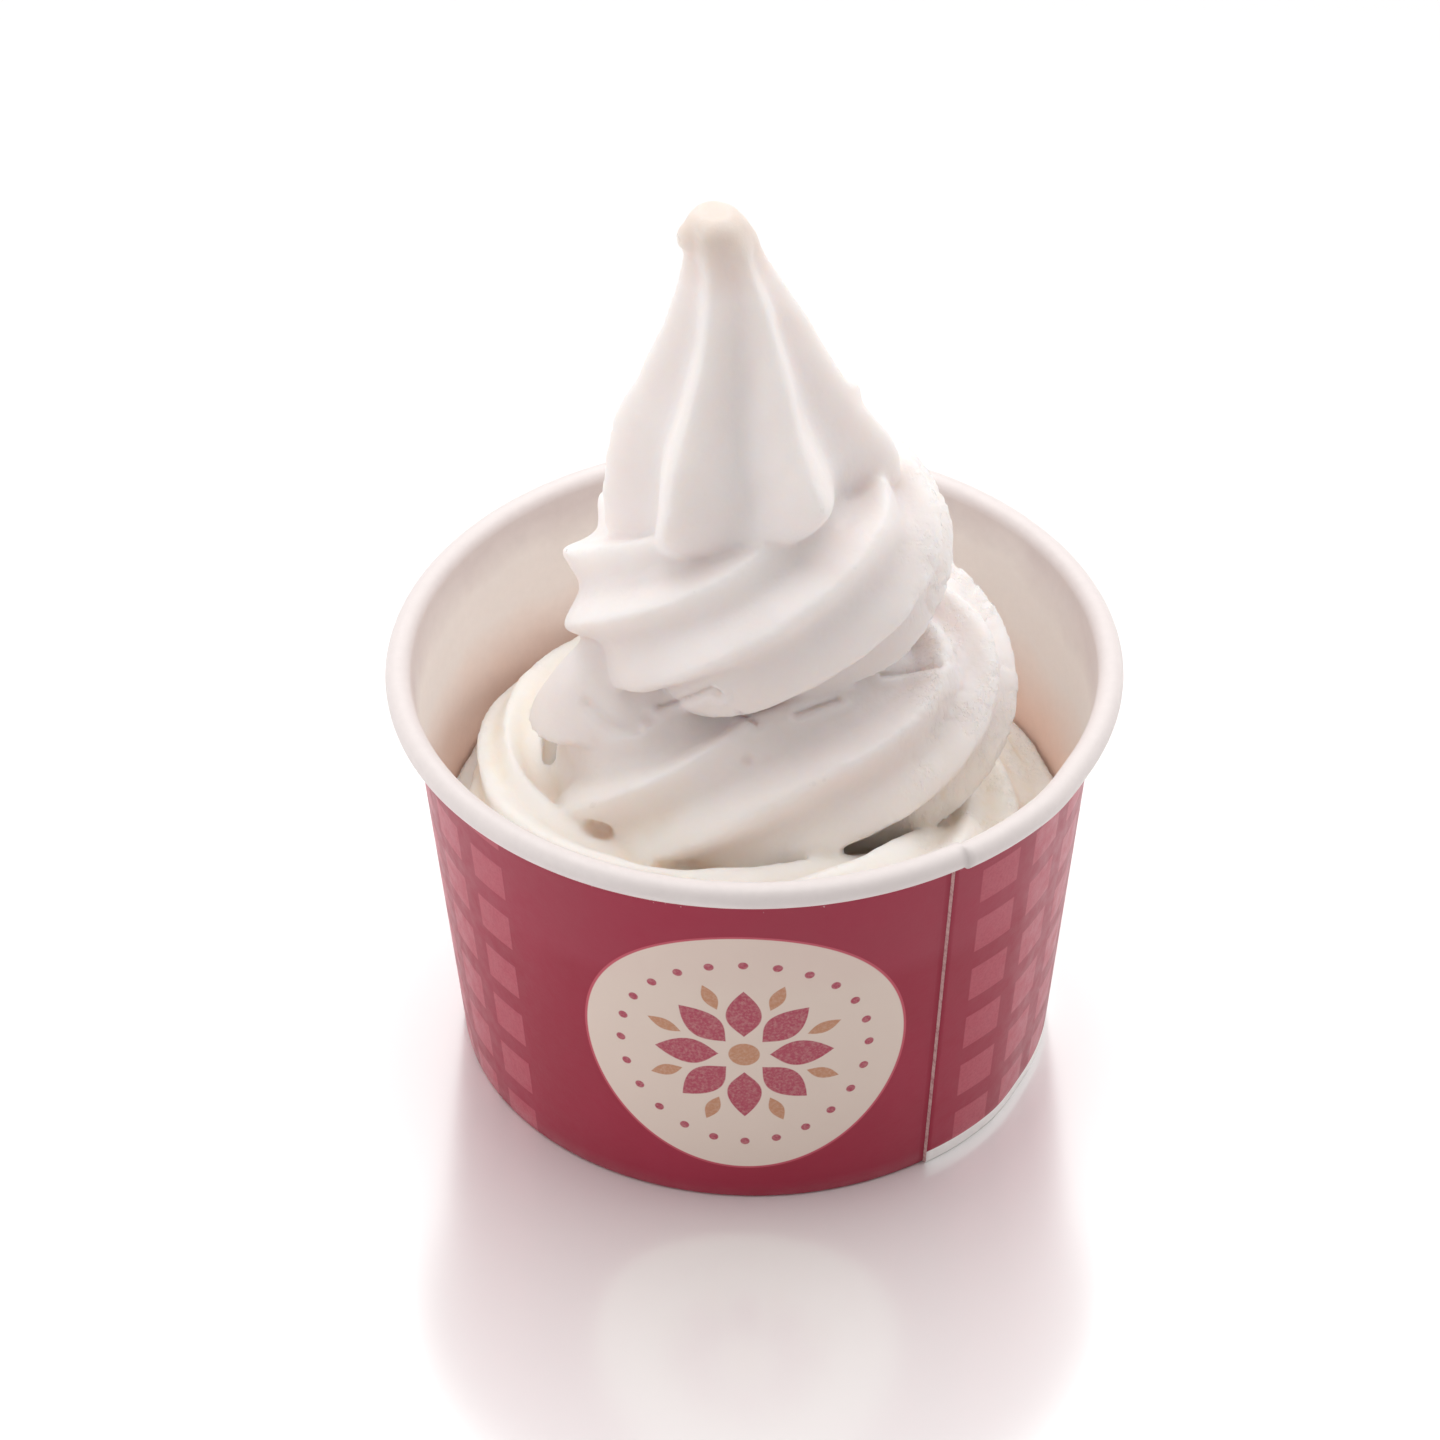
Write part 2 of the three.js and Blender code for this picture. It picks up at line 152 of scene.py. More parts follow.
PEAK_VALLEY_POWER = 1.4
TIP_CURL = (-7.3, -2.6, 125.6)  # middle of the bead where the strand broke off
TIP_CURL_RADII = (2.1, 2.1, 2.1)
# Middle of the small nub on the peak's right flank, which the CAD part leaves out.
FLANK_NUB = (12.0, -1.0, 99.6)
FLANK_NUB_RADII = (2.0, 2.0, 3.4)
COIL_PAD = (-14.8, -0.8, 55.6)  # where the upper coil sank onto the lower one, at the left
COIL_PAD_RADII = (15.0, 12.0, 10.0)
COIL_PAD_TILT = 23.0  # degrees, its left end down
COIL_PAD_POINT = 0.16  # how far its left end is drawn out to a point
COIL_PAD_POINT_POWER = 8  # how narrow that point is
COIL_PAD_FLATNESS = 0.7  # 1 gives straight slopes from edge to middle, 0.5 round ones
COIL_PAD_ENDS = 0.98  # share of its thickness at which it is cut flat
# The body of the lower coil, where its ridges run out at the left, slimmer than in the CAD part.
COIL_HEEL = (-16.5, -1.0, 41.3)
COIL_HEEL_RADII = (9.8, 10.8, 11.2)

# ---- Relief of the yogurt's skin, in mm ---------------------------------------------------------
# [size of the lumps, height]
UNEVENNESS = [(11.0, 0.42), (4.5, 0.2), (1.9, 0.09)]
NICK_SIZE = 1.1  # of the short cracks across the ridges where the strand was stretched
NICK_FLATTENED = 2.2  # how many times wider than high
NICK_DEPTH = 0.28
NICK_NOISE = (0.2, 0.6)  # where the noise starts a crack and where it's at full depth
NICK_PATCHES = 6.0
NICK_PATCH_NOISE = (-0.4, 0.2)
NICK_SIDE = 17.0  # to the right, where the cracks start
NICK_FADE = 6.0
NICK_FACING = 0.5  # how squarely the skin faces right where the cracks are at full depth
NICK_SEED = 11
NICK_PATCH_SEED = 12
# [X, Y, height, reach, depth] of the hollows left where ridges folded over each other
DENTS = [
    (-19.5, -15.5, 42.0, 4.0, 3.0),
    (-17.0, -6.0, 56.7, 2.2, 0.8),
    (-0.8, -18.5, 56.2, 1.6, 0.6),
]
# Tears along the joint between the coils, as (mm to the right, mm up) seen from the front, TEAR_VIEW
# degrees above the table.
TEARS = [
    [(-12.1, 39.1), (-8.3, 40.1), (-5.4, 41.2), (-4.3, 40.6)],
    [(-1.7, 38.0), (0.4, 36.8)],
    [(5.3, 38.0), (7.9, 38.9), (10.8, 39.8)],
    [(16.4, 43.1), (19.7, 43.5), (23.6, 44.2)],
]
# A shallow fold on the pad, given as the tears are.
FOLD = [(-21.6, 39.4), (-19.6, 37.6), (-17.2, 36.4), (-15.2, 36.1)]
FOLD_WIDTH = 1.3
FOLD_DEPTH = 0.4
TEAR_VIEW = 39.0
TEAR_WIDTH = 0.5
TEAR_DEPTH = 0.9
TEAR_LIP = 0.3  # height of the swelling below a tear
# How far below the tear the swelling starts, is at its highest and ends.
TEAR_LIP_START = 0.3
TEAR_LIP_CREST = 1.0
TEAR_LIP_END = 2.2
TEAR_FACING = 0.4  # how squarely the skin faces that view where the tears are at full depth
HOLLOW_REACH = 60  # rounds of smoothing that tell the hollows from the ridges
HOLLOW_DEPTH = 1.2  # below the smoothed skin, where it counts as a full hollow

# ---- How finely the yogurt is made -------------------------------------------------------------
STRAND_RING_STEP = 2.0  # degrees of coil
STRAND_POINTS_PER_RIDGE = 14
PEAK_RINGS = 150
PEAK_POINTS_PER_RIDGE = 18
ROUND_POINTS = 160  # round the filling and the core
PAD_RINGS = 41
PAD_POINT_STEP = 4  # degrees
BEAD_RING_STEP = 4  # degrees
BEAD_POINT_STEP = 5
FUSE_VOXEL = 0.5  # mm
FUSE_SMOOTHING = 3  # rounds of smoothing after fusing
NOISE_LATTICE = 64  # cells before the skin's noise repeats
YOGURT_TRIANGLES = 188_000


# ---- Small helpers -----------------------------------------------------------------------------
def on_cylinder(radius, angle, z):
    """Points at a radius and an angle from the front, stacked on the last axis."""
    a = np.radians(angle)
    x, y, z = np.broadcast_arrays(radius * np.sin(a), -radius * np.cos(a), z)
    return np.stack([x, y, z], axis=-1)


def through_stations(stations, t):
    """A smooth curve through evenly spaced stations, at each position in t."""
    last = len(stations) - 1
    i = np.clip(np.floor(t).astype(int), 0, last - 1)
    f = np.clip(t - i, 0, 1)[:, None]
    before, here, to, after = (stations[np.clip(i + k, 0, last)] for k in (-1, 0, 1, 2))
    slope_from = (to - before) / 2
    slope_to = (after - here) / 2
    rise = to - here
    bend = 3 * rise - 2 * slope_from - slope_to
    twist = slope_from + slope_to - 2 * rise
    return here + f * (slope_from + f * (bend + f * twist))


def ring_faces(rings, points, start=0, loop=False):
    """Quads between rings of equally many points, and a face at each end unless it's a loop."""
    i = np.arange(rings if loop else rings - 1)[:, None]
    j = np.arange(points)[None, :]
    here = i * points
    after = ((i + 1) % rings) * points
    k = (j + 1) % points
    quads = np.stack([here + j, here + k, after + k, after + j], axis=-1).reshape(-1, 4) + start
    faces = quads.tolist()
    if not loop:
        faces.append([start + n for n in range(points - 1, -1, -1)])
        faces.append([start + (rings - 1) * points + n for n in range(points)])
    return faces


def new_object(name, mesh):
    obj = bpy.data.objects.new(name, mesh)
    bpy.context.scene.collection.objects.link(obj)
    return obj


def mesh_of(name, points, faces):
    mesh = bpy.data.meshes.new(name)
    mesh.from_pydata(points.tolist(), [], faces)
    mesh.update()
    return mesh


def applied(obj):
    """The object's mesh with its modifiers applied, in place."""
    graph = bpy.context.evaluated_depsgraph_get()
    mesh = bpy.data.meshes.new_from_object(obj.evaluated_get(graph))
    old = obj.data
    obj.modifiers.clear()
    obj.data = mesh
    mesh.name = old.name + "_made"
    bpy.data.meshes.remove(old)
    return obj


def coordinates(mesh):
    points = np.empty(len(mesh.vertices) * 3)
    mesh.vertices.foreach_get("co", points)
    return points.reshape(-1, 3)


def set_coordinates(mesh, points):
    mesh.vertices.foreach_set("co", points.astype(np.float32).ravel())
    mesh.update()


def smooth_step(low, high, value):
    t = np.clip((value - low) / (high - low), 0, 1)
    return t * t * (3 - 2 * t)


def lattice_noise(points, size, seed):
    """Smooth noise from -1 to 1, with lumps of about the given size."""
    lattice = np.random.default_rng(seed).uniform(-1, 1, (NOISE_LATTICE,) * 3)
    scaled = points / size
    low = np.floor(scaled).astype(int)
    f = scaled - low
    f = f * f * (3 - 2 * f)
    total = np.zeros(len(points))
    for corner in np.ndindex(2, 2, 2):
        weight = np.prod(np.where(corner, f, 1 - f), axis=1)
        total += weight * lattice[tuple(((low + corner) % NOISE_LATTICE).T)]
    return total


def skin_normals(mesh):
    normals = np.empty(len(mesh.vertices) * 3, dtype=np.float32)
    mesh.vertex_normals.foreach_get("vector", normals)
    return normals.reshape(-1, 3).astype(float)


def write_attribute(mesh, name, values):
    attribute = mesh.attributes.new(name, "FLOAT", "POINT")
    attribute.data.foreach_set("value", values.astype(np.float32))


def to_metres(obj):
    obj.data.transform(Matrix.Scale(MM, 4))
    obj.data.shade_smooth()
    return obj


# ---- The cup -----------------------------------------------------------------------------------
def wall_radius(z):
    return FOOT_RADIUS + (WALL_TOP_RADIUS - FOOT_RADIUS) * z / WALL_TOP


def inside_radius(z):
    return wall_radius(z) - BOARD - CLEARANCE


def sidewall_profile():
    """The wall's section in rows of (radius, height, face): up the outside and down the inside."""
    rim_radius = RIM_RADIUS - RIM_ROLL_RADIUS
    rim_height = CUP_HEIGHT - RIM_ROLL_RADIUS
    fold = BOARD + FOOT_GROOVE
    corner = FOOT_ROUNDING * FOOT_ROUNDING_SHARE
    profile = [
        (wall_radius(0) - fold, 0.0, "fold"),
        (wall_radius(0) - FOOT_ROUNDING, 0.0, "outer"),
        (wall_radius(0) - corner, corner, "outer"),
    ]
    for z in np.linspace(FOOT_ROUNDING, WALL_TOP, WALL_STEPS):
        profile.append((wall_radius(z), z, "outer"))
    for angle in np.radians(np.linspace(ROLL_START, ROLL_END, ROLL_STEPS)):
        radius = rim_radius + RIM_ROLL_RADIUS * math.cos(angle)
        profile.append((radius, rim_height + RIM_ROLL_RADIUS * math.sin(angle), "outer"))
    profile[-1] = (*profile[-1][:2], "inner")  # the roll ends on the wall's inside
    for z in np.linspace(WALL_TOP - ROLL_BLEND, BOARD, WALL_STEPS):
        profile.append((wall_radius(z) - BOARD, z, "inner"))
    profile += [
        (wall_radius(BOARD) - fold, BOARD, "fold"),
        (wall_radius(FOLD_HEIGHT) - fold, FOLD_HEIGHT, "fold"),
        (wall_radius(FOLD_HEIGHT) - fold - BOARD, FOLD_HEIGHT, "fold"),
        (wall_radius(FOOT_ROUNDING) - fold - BOARD, FOOT_ROUNDING, "fold"),
    ]
    return profile


def seam_lift(angle, face):
    """How far the lapped seam lifts a face off the cone."""
    start = SEAM_OUTER_EDGE if face == "outer" else SEAM_INNER_EDGE
    if face == "fold":
        return np.zeros_like(angle)
    settled = (angle - SEAM_INNER_EDGE) / (SEAM_SETTLED - SEAM_INNER_EDGE)
    easing = BOARD * (1 + np.cos(np.pi * np.clip(settled, 0, 1))) / 2
    return np.where((angle > start) & (angle < SEAM_SETTLED), easing, 0.0)


def sidewall_angles():
    """Cuts round the wall from the seam's outer edge, with a pair close together at each edge."""
    lap = np.linspace(SEAM_OUTER_EDGE + SEAM_EDGE_HALF, SEAM_INNER_EDGE - SEAM_EDGE_HALF, LAP_FACETS)
    settling = np.linspace(SEAM_INNER_EDGE + SEAM_EDGE_HALF, SEAM_SETTLED, SETTLING_FACETS)
    rest_facets = CUP_FACETS - LAP_FACETS - SETTLING_FACETS
    rest = np.linspace(SEAM_SETTLED, SEAM_OUTER_EDGE + TURN - SEAM_EDGE_HALF, rest_facets)
    return np.concatenate([lap, settling, rest[1:]])


def build_sidewall():
    profile = sidewall_profile()[::-1]
    angles = sidewall_angles()
    rings = np.stack(
        [on_cylinder(r + seam_lift(angles, face), angles, z) for r, z, face in profile], axis=1
    )
    faces = ring_faces(len(angles), len(profile), loop=True)
    mesh = mesh_of("cup_wall", rings.reshape(-1, 3), faces)
    write_print_map(mesh, angles, profile)
    return new_object("cup_wall", mesh)


def write_print_map(mesh, angles, profile):
    """A UV map of (degrees, mm up the wall), and the second material on the unprinted faces."""
    count = len(profile)
    heights = np.array([z for _, z, _ in profile])
    outside = [i for i, row in enumerate(profile) if row[2] == "outer" and row[1] <= WALL_TOP]
    layer = mesh.uv_layers.new(name="print")
    corners = np.empty(len(mesh.loops), dtype=int)
    mesh.loops.foreach_get("vertex_index", corners)
    ring = corners // count
    quad = np.arange(len(corners)) // 4
    wrapped = (ring == 0) & (quad // count == len(angles) - 1)
    u = angles[ring] + np.where(wrapped, TURN, 0)
    v = heights[corners % count]
    layer.data.foreach_set("uv", np.stack([u, v], axis=-1).ravel() / PRINT_MAP_UNIT)
    in_print = np.zeros(count, dtype=bool)
    in_print[outside] = True
    column = np.arange(len(mesh.polygons)) % count
    printed = in_print[column] & in_print[(column + 1) % count]
    mesh.polygons.foreach_set("material_index", np.where(printed, 0, 1))


def build_base():
    skirt_foot = BOARD + CLEARANCE
    profile = [
        (AXIS_HOLE, BASE_UNDERSIDE),
        (inside_radius(BASE_UNDERSIDE) - BOARD - BASE_BEVEL, BASE_UNDERSIDE),
        (inside_radius(BASE_UNDERSIDE) - BOARD, BASE_UNDERSIDE - BASE_BEVEL),
        (inside_radius(skirt_foot) - BOARD, skirt_foot),
        (inside_radius(skirt_foot), skirt_foot),
        (inside_radius(BASE_TOP - BASE_BEVEL), BASE_TOP - BASE_BEVEL),
        (inside_radius(BASE_TOP) - BASE_BEVEL, BASE_TOP),
        (AXIS_HOLE, BASE_TOP),
    ]
    angles = np.arange(CUP_FACETS) * TURN / CUP_FACETS
    rings = np.stack([on_cylinder(r, angles, z) for r, z in profile])
    faces = ring_faces(len(profile), CUP_FACETS)
    return new_object("cup_floor", mesh_of("cup_floor", rings.reshape(-1, 3), faces))


# ---- The yogurt --------------------------------------------------------------------------------
def star_share(from_ridge, valley, power):
    """Share of the full radius at an angle from a ridge, in a star-shaped section."""
    return 1 - valley * np.abs(np.sin(np.radians(from_ridge * RIDGES / 2))) ** power


def strand_path(turn):
    """The strand's middle at each turn in degrees, and its radius across, up and down."""
    reach_x, reach_y, height, across, up, down = through_stations(
        STRAND_STATIONS, (turn - FIRST_STATION) / STATION_STEP
    ).T
    centre = COIL_CENTRE + COIL_DRIFT * turn[:, None] / TURN
    x = centre[:, 0] + reach_x * np.sin(np.radians(turn))
    y = centre[:, 1] - reach_y * np.cos(np.radians(turn))
    return np.stack([x, y, height], axis=-1), across, up, down


def strand_heading(turn):
    """The way the strand runs, in degrees that count on from turn to turn."""
    along = strand_path(turn + 1)[0] - strand_path(turn - 1)[0]
    heading = np.degrees(np.arctan2(along[:, 1], along[:, 0]))
    return heading + TURN * np.round((turn - heading) / TURN)


def strand_rings():
    """The ridged section, carried along the coil."""
    last = FIRST_STATION + STATION_STEP * (len(STRAND_STATIONS) - 1)
    turn = np.arange(FIRST_STATION, last + STRAND_RING_STEP / 2, STRAND_RING_STEP)
    middle, across, up, down = strand_path(turn)
    heading = strand_heading(turn)
    ridge = 90 - RIDGE_TWIST * (heading - RIDGE_FACES)
    count = RIDGES * STRAND_POINTS_PER_RIDGE
    from_ridge = TURN * np.arange(count) / count
    lean = np.radians(ridge[:, None] + from_ridge[None, :])
    share = star_share(from_ridge, STRAND_VALLEY, STRAND_VALLEY_POWER)[None, :]
    out = across[:, None] * share * np.sin(lean)
    tall = np.where(np.cos(lean) > 0, up[:, None], down[:, None])
    offset = on_cylinder(out, heading[:, None], tall * share * np.cos(lean))
    return middle[:, None, :] + offset


def peak_rings():
    """The ridged section of the drawn-out peak, its foot rising forwards."""
    t = np.linspace(0, len(PEAK_STATIONS) - 1, PEAK_RINGS)
    height, x, y, radius, valley, rise, faces = through_stations(PEAK_STATIONS, t).T[:, :, None]
    count = RIDGES * PEAK_POINTS_PER_RIDGE
    from_ridge = (TURN * np.arange(count) / count)[None, :]
    angle = faces + from_ridge
    angle = angle + PEAK_SPREAD * np.sin(np.radians(angle))
    reach = radius * star_share(from_ridge, valley, PEAK_VALLEY_POWER)
    lift = rise * reach * np.cos(np.radians(angle - PEAK_FOOT_FRONT))
    offset = on_cylinder(reach, angle, height + lift)
    return offset + np.stack([x[:, 0], y[:, 0], 0 * x[:, 0]], axis=-1)[:, None, :]


def round_rings(levels, centre=(0.0, 0.0)):
    """Circles at levels of (height, radius)."""
    angles = np.arange(ROUND_POINTS) * TURN / ROUND_POINTS
    rings = np.stack([on_cylinder(r, angles, z) for z, r in levels])
    return rings + np.array([centre[0], centre[1], 0.0])


def bead_rings(middle, radii):
    """An ellipsoid."""
    tilt = np.radians(np.arange(BEAD_RING_STEP, 180, BEAD_RING_STEP))[:, None]
    angle = np.arange(0, TURN, BEAD_POINT_STEP)[None, :]
    return on_cylinder(np.sin(tilt), angle, -np.cos(tilt)) * np.array(radii) + np.array(middle)


def pad_rings():
    """A lens with a sharp edge all round, its left end down and drawn out to a point."""
    level = np.linspace(-COIL_PAD_ENDS, COIL_PAD_ENDS, PAD_RINGS)[:, None]
    angle = np.arange(0, TURN, PAD_POINT_STEP)[None, :]
    towards_point = np.abs(np.cos(np.radians(angle + 90) / 2)) ** COIL_PAD_POINT_POWER
    drawn = 1 + COIL_PAD_POINT * (towards_point - 0.5)
    unit = on_cylinder((1 - np.abs(level)) ** COIL_PAD_FLATNESS * drawn, angle, level)
    x, y, z = np.moveaxis(unit * np.array(COIL_PAD_RADII), -1, 0)
    lean = math.radians(COIL_PAD_TILT)
    turned_x = x * math.cos(lean) - z * math.sin(lean)
    turned_z = x * math.sin(lean) + z * math.cos(lean)
    return np.stack([turned_x, y, turned_z], axis=-1) + np.array(COIL_PAD)


def filling_rings():
    bottom = BASE_TOP + CLEARANCE
    return round_rings(
        [
            (bottom, inside_radius(bottom)),
            (FILL_TOP - FILL_EDGE, inside_radius(FILL_TOP - FILL_EDGE)),
            (FILL_TOP, inside_radius(FILL_TOP) - FILL_EDGE),
            (FILL_TOP + FILL_DOME, inside_radius(FILL_TOP) / 2),
        ]
    )


def fused(name, ring_sets):
    """One closed skin round several overlapping solids."""
    points = []
    faces = []
    start = 0
    for rings in ring_sets:
        points.append(rings.reshape(-1, 3))
        faces += ring_faces(rings.shape[0], rings.shape[1], start)
        start += rings.shape[0] * rings.shape[1]
    obj = new_object(name, mesh_of(name, np.concatenate(points), faces))
    remesh = obj.modifiers.new("fuse", "REMESH")
    remesh.mode = "VOXEL"
    remesh.voxel_size = FUSE_VOXEL
    return applied(obj)


def keep_outer_skin(obj):
    """Removes whatever isn't joined to the highest point."""
    mesh = obj.data
    count = len(mesh.vertices)
    edges = np.empty(len(mesh.edges) * 2, dtype=int)
    mesh.edges.foreach_get("vertices", edges)
    a, b = edges.reshape(-1, 2).T
    label = np.arange(count)
    while True:
        low = np.minimum(label[a], label[b])
        before = label.copy()
        np.minimum.at(label, a, low)
        np.minimum.at(label, b, low)
        label = label[label]
        if np.array_equal(before, label):
            break
    top = label[np.argmax(coordinates(mesh)[:, 2])]
    remove_points(mesh, label != top)


def remove_points(mesh, chosen):
    work = bmesh.new()
    work.from_mesh(mesh)
    bmesh.ops.delete(work, geom=[v for v, gone in zip(work.verts, chosen) if gone], context="VERTS")
    work.to_mesh(mesh)
    work.free()


def smoothed(mesh, points, rounds):
    """Each point moved halfway to the mean of its neighbours, in several rounds."""
    edges = np.empty(len(mesh.edges) * 2, dtype=int)
    mesh.edges.foreach_get("vertices", edges)
    a, b = edges.reshape(-1, 2).T
    count = len(points)
    degree = np.bincount(a, minlength=count) + np.bincount(b, minlength=count)
    for _ in range(rounds):
        total = np.stack(
            [
                np.bincount(a, points[b, axis], count) + np.bincount(b, points[a, axis], count)
                for axis in range(3)
            ],
            axis=-1,
        )
        points = points + 0.5 * (total / degree[:, None] - points)
    return points


def kept_in_cup(points):
    """Points pulled in to the inside of the wall, and held between the base and the peak's top."""
    radius = np.hypot(points[:, 0], points[:, 1])
    limit = inside_radius(np.minimum(points[:, 2], WALL_TOP))
    scale = np.minimum(1, limit / np.maximum(radius, 1e-6))
    held = points.copy()
    held[:, :2] *= scale[:, None]
    held[:, 2] = np.clip(held[:, 2], BASE_TOP + CLEARANCE, PEAK_STATIONS[-1, 0])
    return held


def thinned(obj, triangles):
    """The object with no more than so many triangles, fewest where the surface is plain."""
    obj.data.calc_loop_triangles()
    have = len(obj.data.loop_triangles)
    if have <= triangles:
        return obj
    thin = obj.modifiers.new("thin", "DECIMATE")
    thin.ratio = triangles / have
    return applied(obj)


def distance_to_line(spots, line):
    """Distance of each 2-D spot from a broken line, and whether it lies below the nearest stretch."""
    nearest = np.full(len(spots), np.inf)
    below = np.zeros(len(spots), dtype=bool)
    for start, end in zip(np.array(line[:-1]), np.array(line[1:])):
        along = end - start
        share = np.clip((spots - start) @ along / (along @ along), 0, 1)
        gap = spots - (start + share[:, None] * along)
        away = np.linalg.norm(gap, axis=1)
        below = np.where(away < nearest, gap[:, 1] < 0, below)
        nearest = np.minimum(nearest, away)
    return nearest, below


def torn(points, normals):
    """Narrow tears along the joint of the coils, each with a lip below it, and the pad's fold."""
    view = math.radians(TEAR_VIEW)
    up = math.cos(view) * points[:, 2] + math.sin(view) * points[:, 1]
    spots = np.stack([points[:, 0], up], axis=-1)
    squareness = math.sin(view) * normals[:, 2] - math.cos(view) * normals[:, 1]
    height = np.zeros(len(points))
    for line in TEARS:
        away, below = distance_to_line(spots, line)
        height -= TEAR_DEPTH * smooth_step(TEAR_WIDTH, 0.0, away)
        lip = smooth_step(TEAR_LIP_END, TEAR_LIP_CREST, away)
        lip *= smooth_step(TEAR_LIP_START, TEAR_LIP_CREST, away)
        height += TEAR_LIP * lip * below
    away, _ = distance_to_line(spots, FOLD)
    height -= FOLD_DEPTH * smooth_step(FOLD_WIDTH, 0.0, away)
    return height * smooth_step(0.0, TEAR_FACING, squareness)


def nicked(points, normals):
    """Short level cracks in patches on the right flank."""
    flattened = points * np.array([1.0, 1.0, NICK_FLATTENED])
    cracks = smooth_step(*NICK_NOISE, lattice_noise(flattened, NICK_SIZE, NICK_SEED))
    patches = smooth_step(*NICK_PATCH_NOISE, lattice_noise(points, NICK_PATCHES, NICK_PATCH_SEED))
    on_flank = smooth_step(NICK_SIDE, NICK_SIDE + NICK_FADE, points[:, 0])
    outwards = on_flank * smooth_step(0.0, NICK_FACING, normals[:, 0])
    return -NICK_DEPTH * cracks * patches * outwards


def uneven(points, normals):
    """The skin with lumps of several sizes, cracks, tears and dents."""
    height = sum(
        amount * lattice_noise(points, size, seed)
        for seed, (size, amount) in enumerate(UNEVENNESS)
    )
    height += nicked(points, normals)
    height += torn(points, normals)
    for x, y, z, reach, depth in DENTS:
        away = np.linalg.norm(points - np.array([x, y, z]), axis=1)
        height -= depth * smooth_step(reach, 0.0, away)
    return points + normals * height[:, None]


def write_hollows(mesh):
    """How deep each point lies in a hollow between ridges, and how far out on a ridge, from 0 to 1."""
    points = coordinates(mesh)
    plain = smoothed(mesh, points, HOLLOW_REACH)
    below = np.einsum("ij,ij->i", plain - points, skin_normals(mesh))
    write_attribute(mesh, "hollow", np.clip(below / HOLLOW_DEPTH, 0, 1))
    write_attribute(mesh, "crest", np.clip(-below / HOLLOW_DEPTH, 0, 1))


def build_yogurt():
    solids = [
        filling_rings(),
        round_rings(CORE_LEVELS, COIL_CENTRE),
        strand_rings(),
        peak_rings(),
        pad_rings(),
        bead_rings(COIL_HEEL, COIL_HEEL_RADII),
        bead_rings(TIP_CURL, TIP_CURL_RADII),
        bead_rings(FLANK_NUB, FLANK_NUB_RADII),
    ]
    obj = fused("yogurt_swirl", solids)
    keep_outer_skin(obj)
    points = smoothed(obj.data, coordinates(obj.data), FUSE_SMOOTHING)
    set_coordinates(obj.data, points)
    points = uneven(points, skin_normals(obj.data))
    set_coordinates(obj.data, kept_in_cup(points))
    write_hollows(obj.data)
    return thinned(obj, YOGURT_TRIANGLES)


# ---- Materials -----------------------------------------------------------------------------------
# Noise is given as (lumps per metre, detail, roughness), levels as heights in metres, each range from
# where a change starts to where it ends, and colours as 0..255 in sRGB.
NOISE_REACH = (0.3, 0.7)  # the range that a noise mostly covers

YOGURT_PINK = (247, 238, 236)  # the upper coil and the peak
YOGURT_CREAM = (254, 243, 236)  # the lower coils
YOGURT_TIP = (228, 217, 209)  # the thin end, which is greyer
YOGURT_PAINTED_SHADE = (242, 208, 168)  # painted warm shade in the hollows deep down between the coils
YOGURT_PAINTED_SHADE_SHARE = 0.6
CREAM_LEVELS = (0.056, 0.04)
TIP_LEVELS = (0.119, 0.127)
PAINTED_SHADE_LEVELS = (0.052, 0.038)
TINT_WANDER = (70.0, 3.0, 0.5)
TINT_WANDER_HEIGHT = 20  # mm
SCATTER_RADIUS = (1.0, 0.84, 0.72)  # of the scale, for red, green and blue
SCATTER_SCALE = 3.4  # mm
YOGURT_ROUGHNESS = (0.38, 0.52)
YOGURT_PATCHES = (420.0, 4.0, 0.5)
WET_PATCHES = (330.0, 3.0, 0.7)
WET_SHARE = (0.42, 0.62)
WET_CRESTS = (0.25, 0.8)
WET_GAIN = 0.24  # by how much a wet crest is smoother
COARSE_GRAIN = (260.0, 4.0, 0.6)
COARSE_DEPTH = 0.16  # mm
FINE_GRAIN = (1500.0, 3.0, 0.6)
FINE_DEPTH = 0.04
MARKS = (1150.0, 2.0, 0.6)
MARKS_FLATTENING = 0.32  # of the height, which draws the marks out upright
MARKS_EDGE = (0.56, 0.44)
MARKS_PATCHES = (170.0, 2.0, 0.5)
MARKS_SHARE = (0.42, 0.56)
MARKS_DEPTH = 0.14

# Painted shade: the rolled rim is greyer than the white wall below it.
BOARD_RIM_PAINTED_SHADE = (233, 224, 222)
BOARD_WALL = (255, 251, 247)
# Painted shade: warmer and darker low down inside the cup, with a wandering edge.
BOARD_DEEP_PAINTED_SHADE = (252, 224, 209)
RIM_LEVELS = (0.056, 0.05)
DEEP_LEVELS = (0.044, 0.032)
PAINTED_SHADE_WANDER = (45.0, 3.0, 0.5)
PAINTED_SHADE_WANDER_HEIGHT = 12  # mm
BOARD_FIBRES = (700.0, 4.0, 0.65)
FIBRE_SHADE = (1.0, 0.965)
FIBRE_DEPTH = 0.02  # mm
BOARD_PATCHES = (300.0, 3.0, 0.5)
BOARD_ROUGHNESS = (0.38, 0.5)


def srgb(red, green, blue):
    """An sRGB colour in linear light."""
    channels = [c / 255 for c in (red, green, blue)]
    linear = [c / 12.92 if c <= 0.04045 else ((c + 0.055) / 1.055) ** 2.4 for c in channels]
    return (*linear, 1.0)


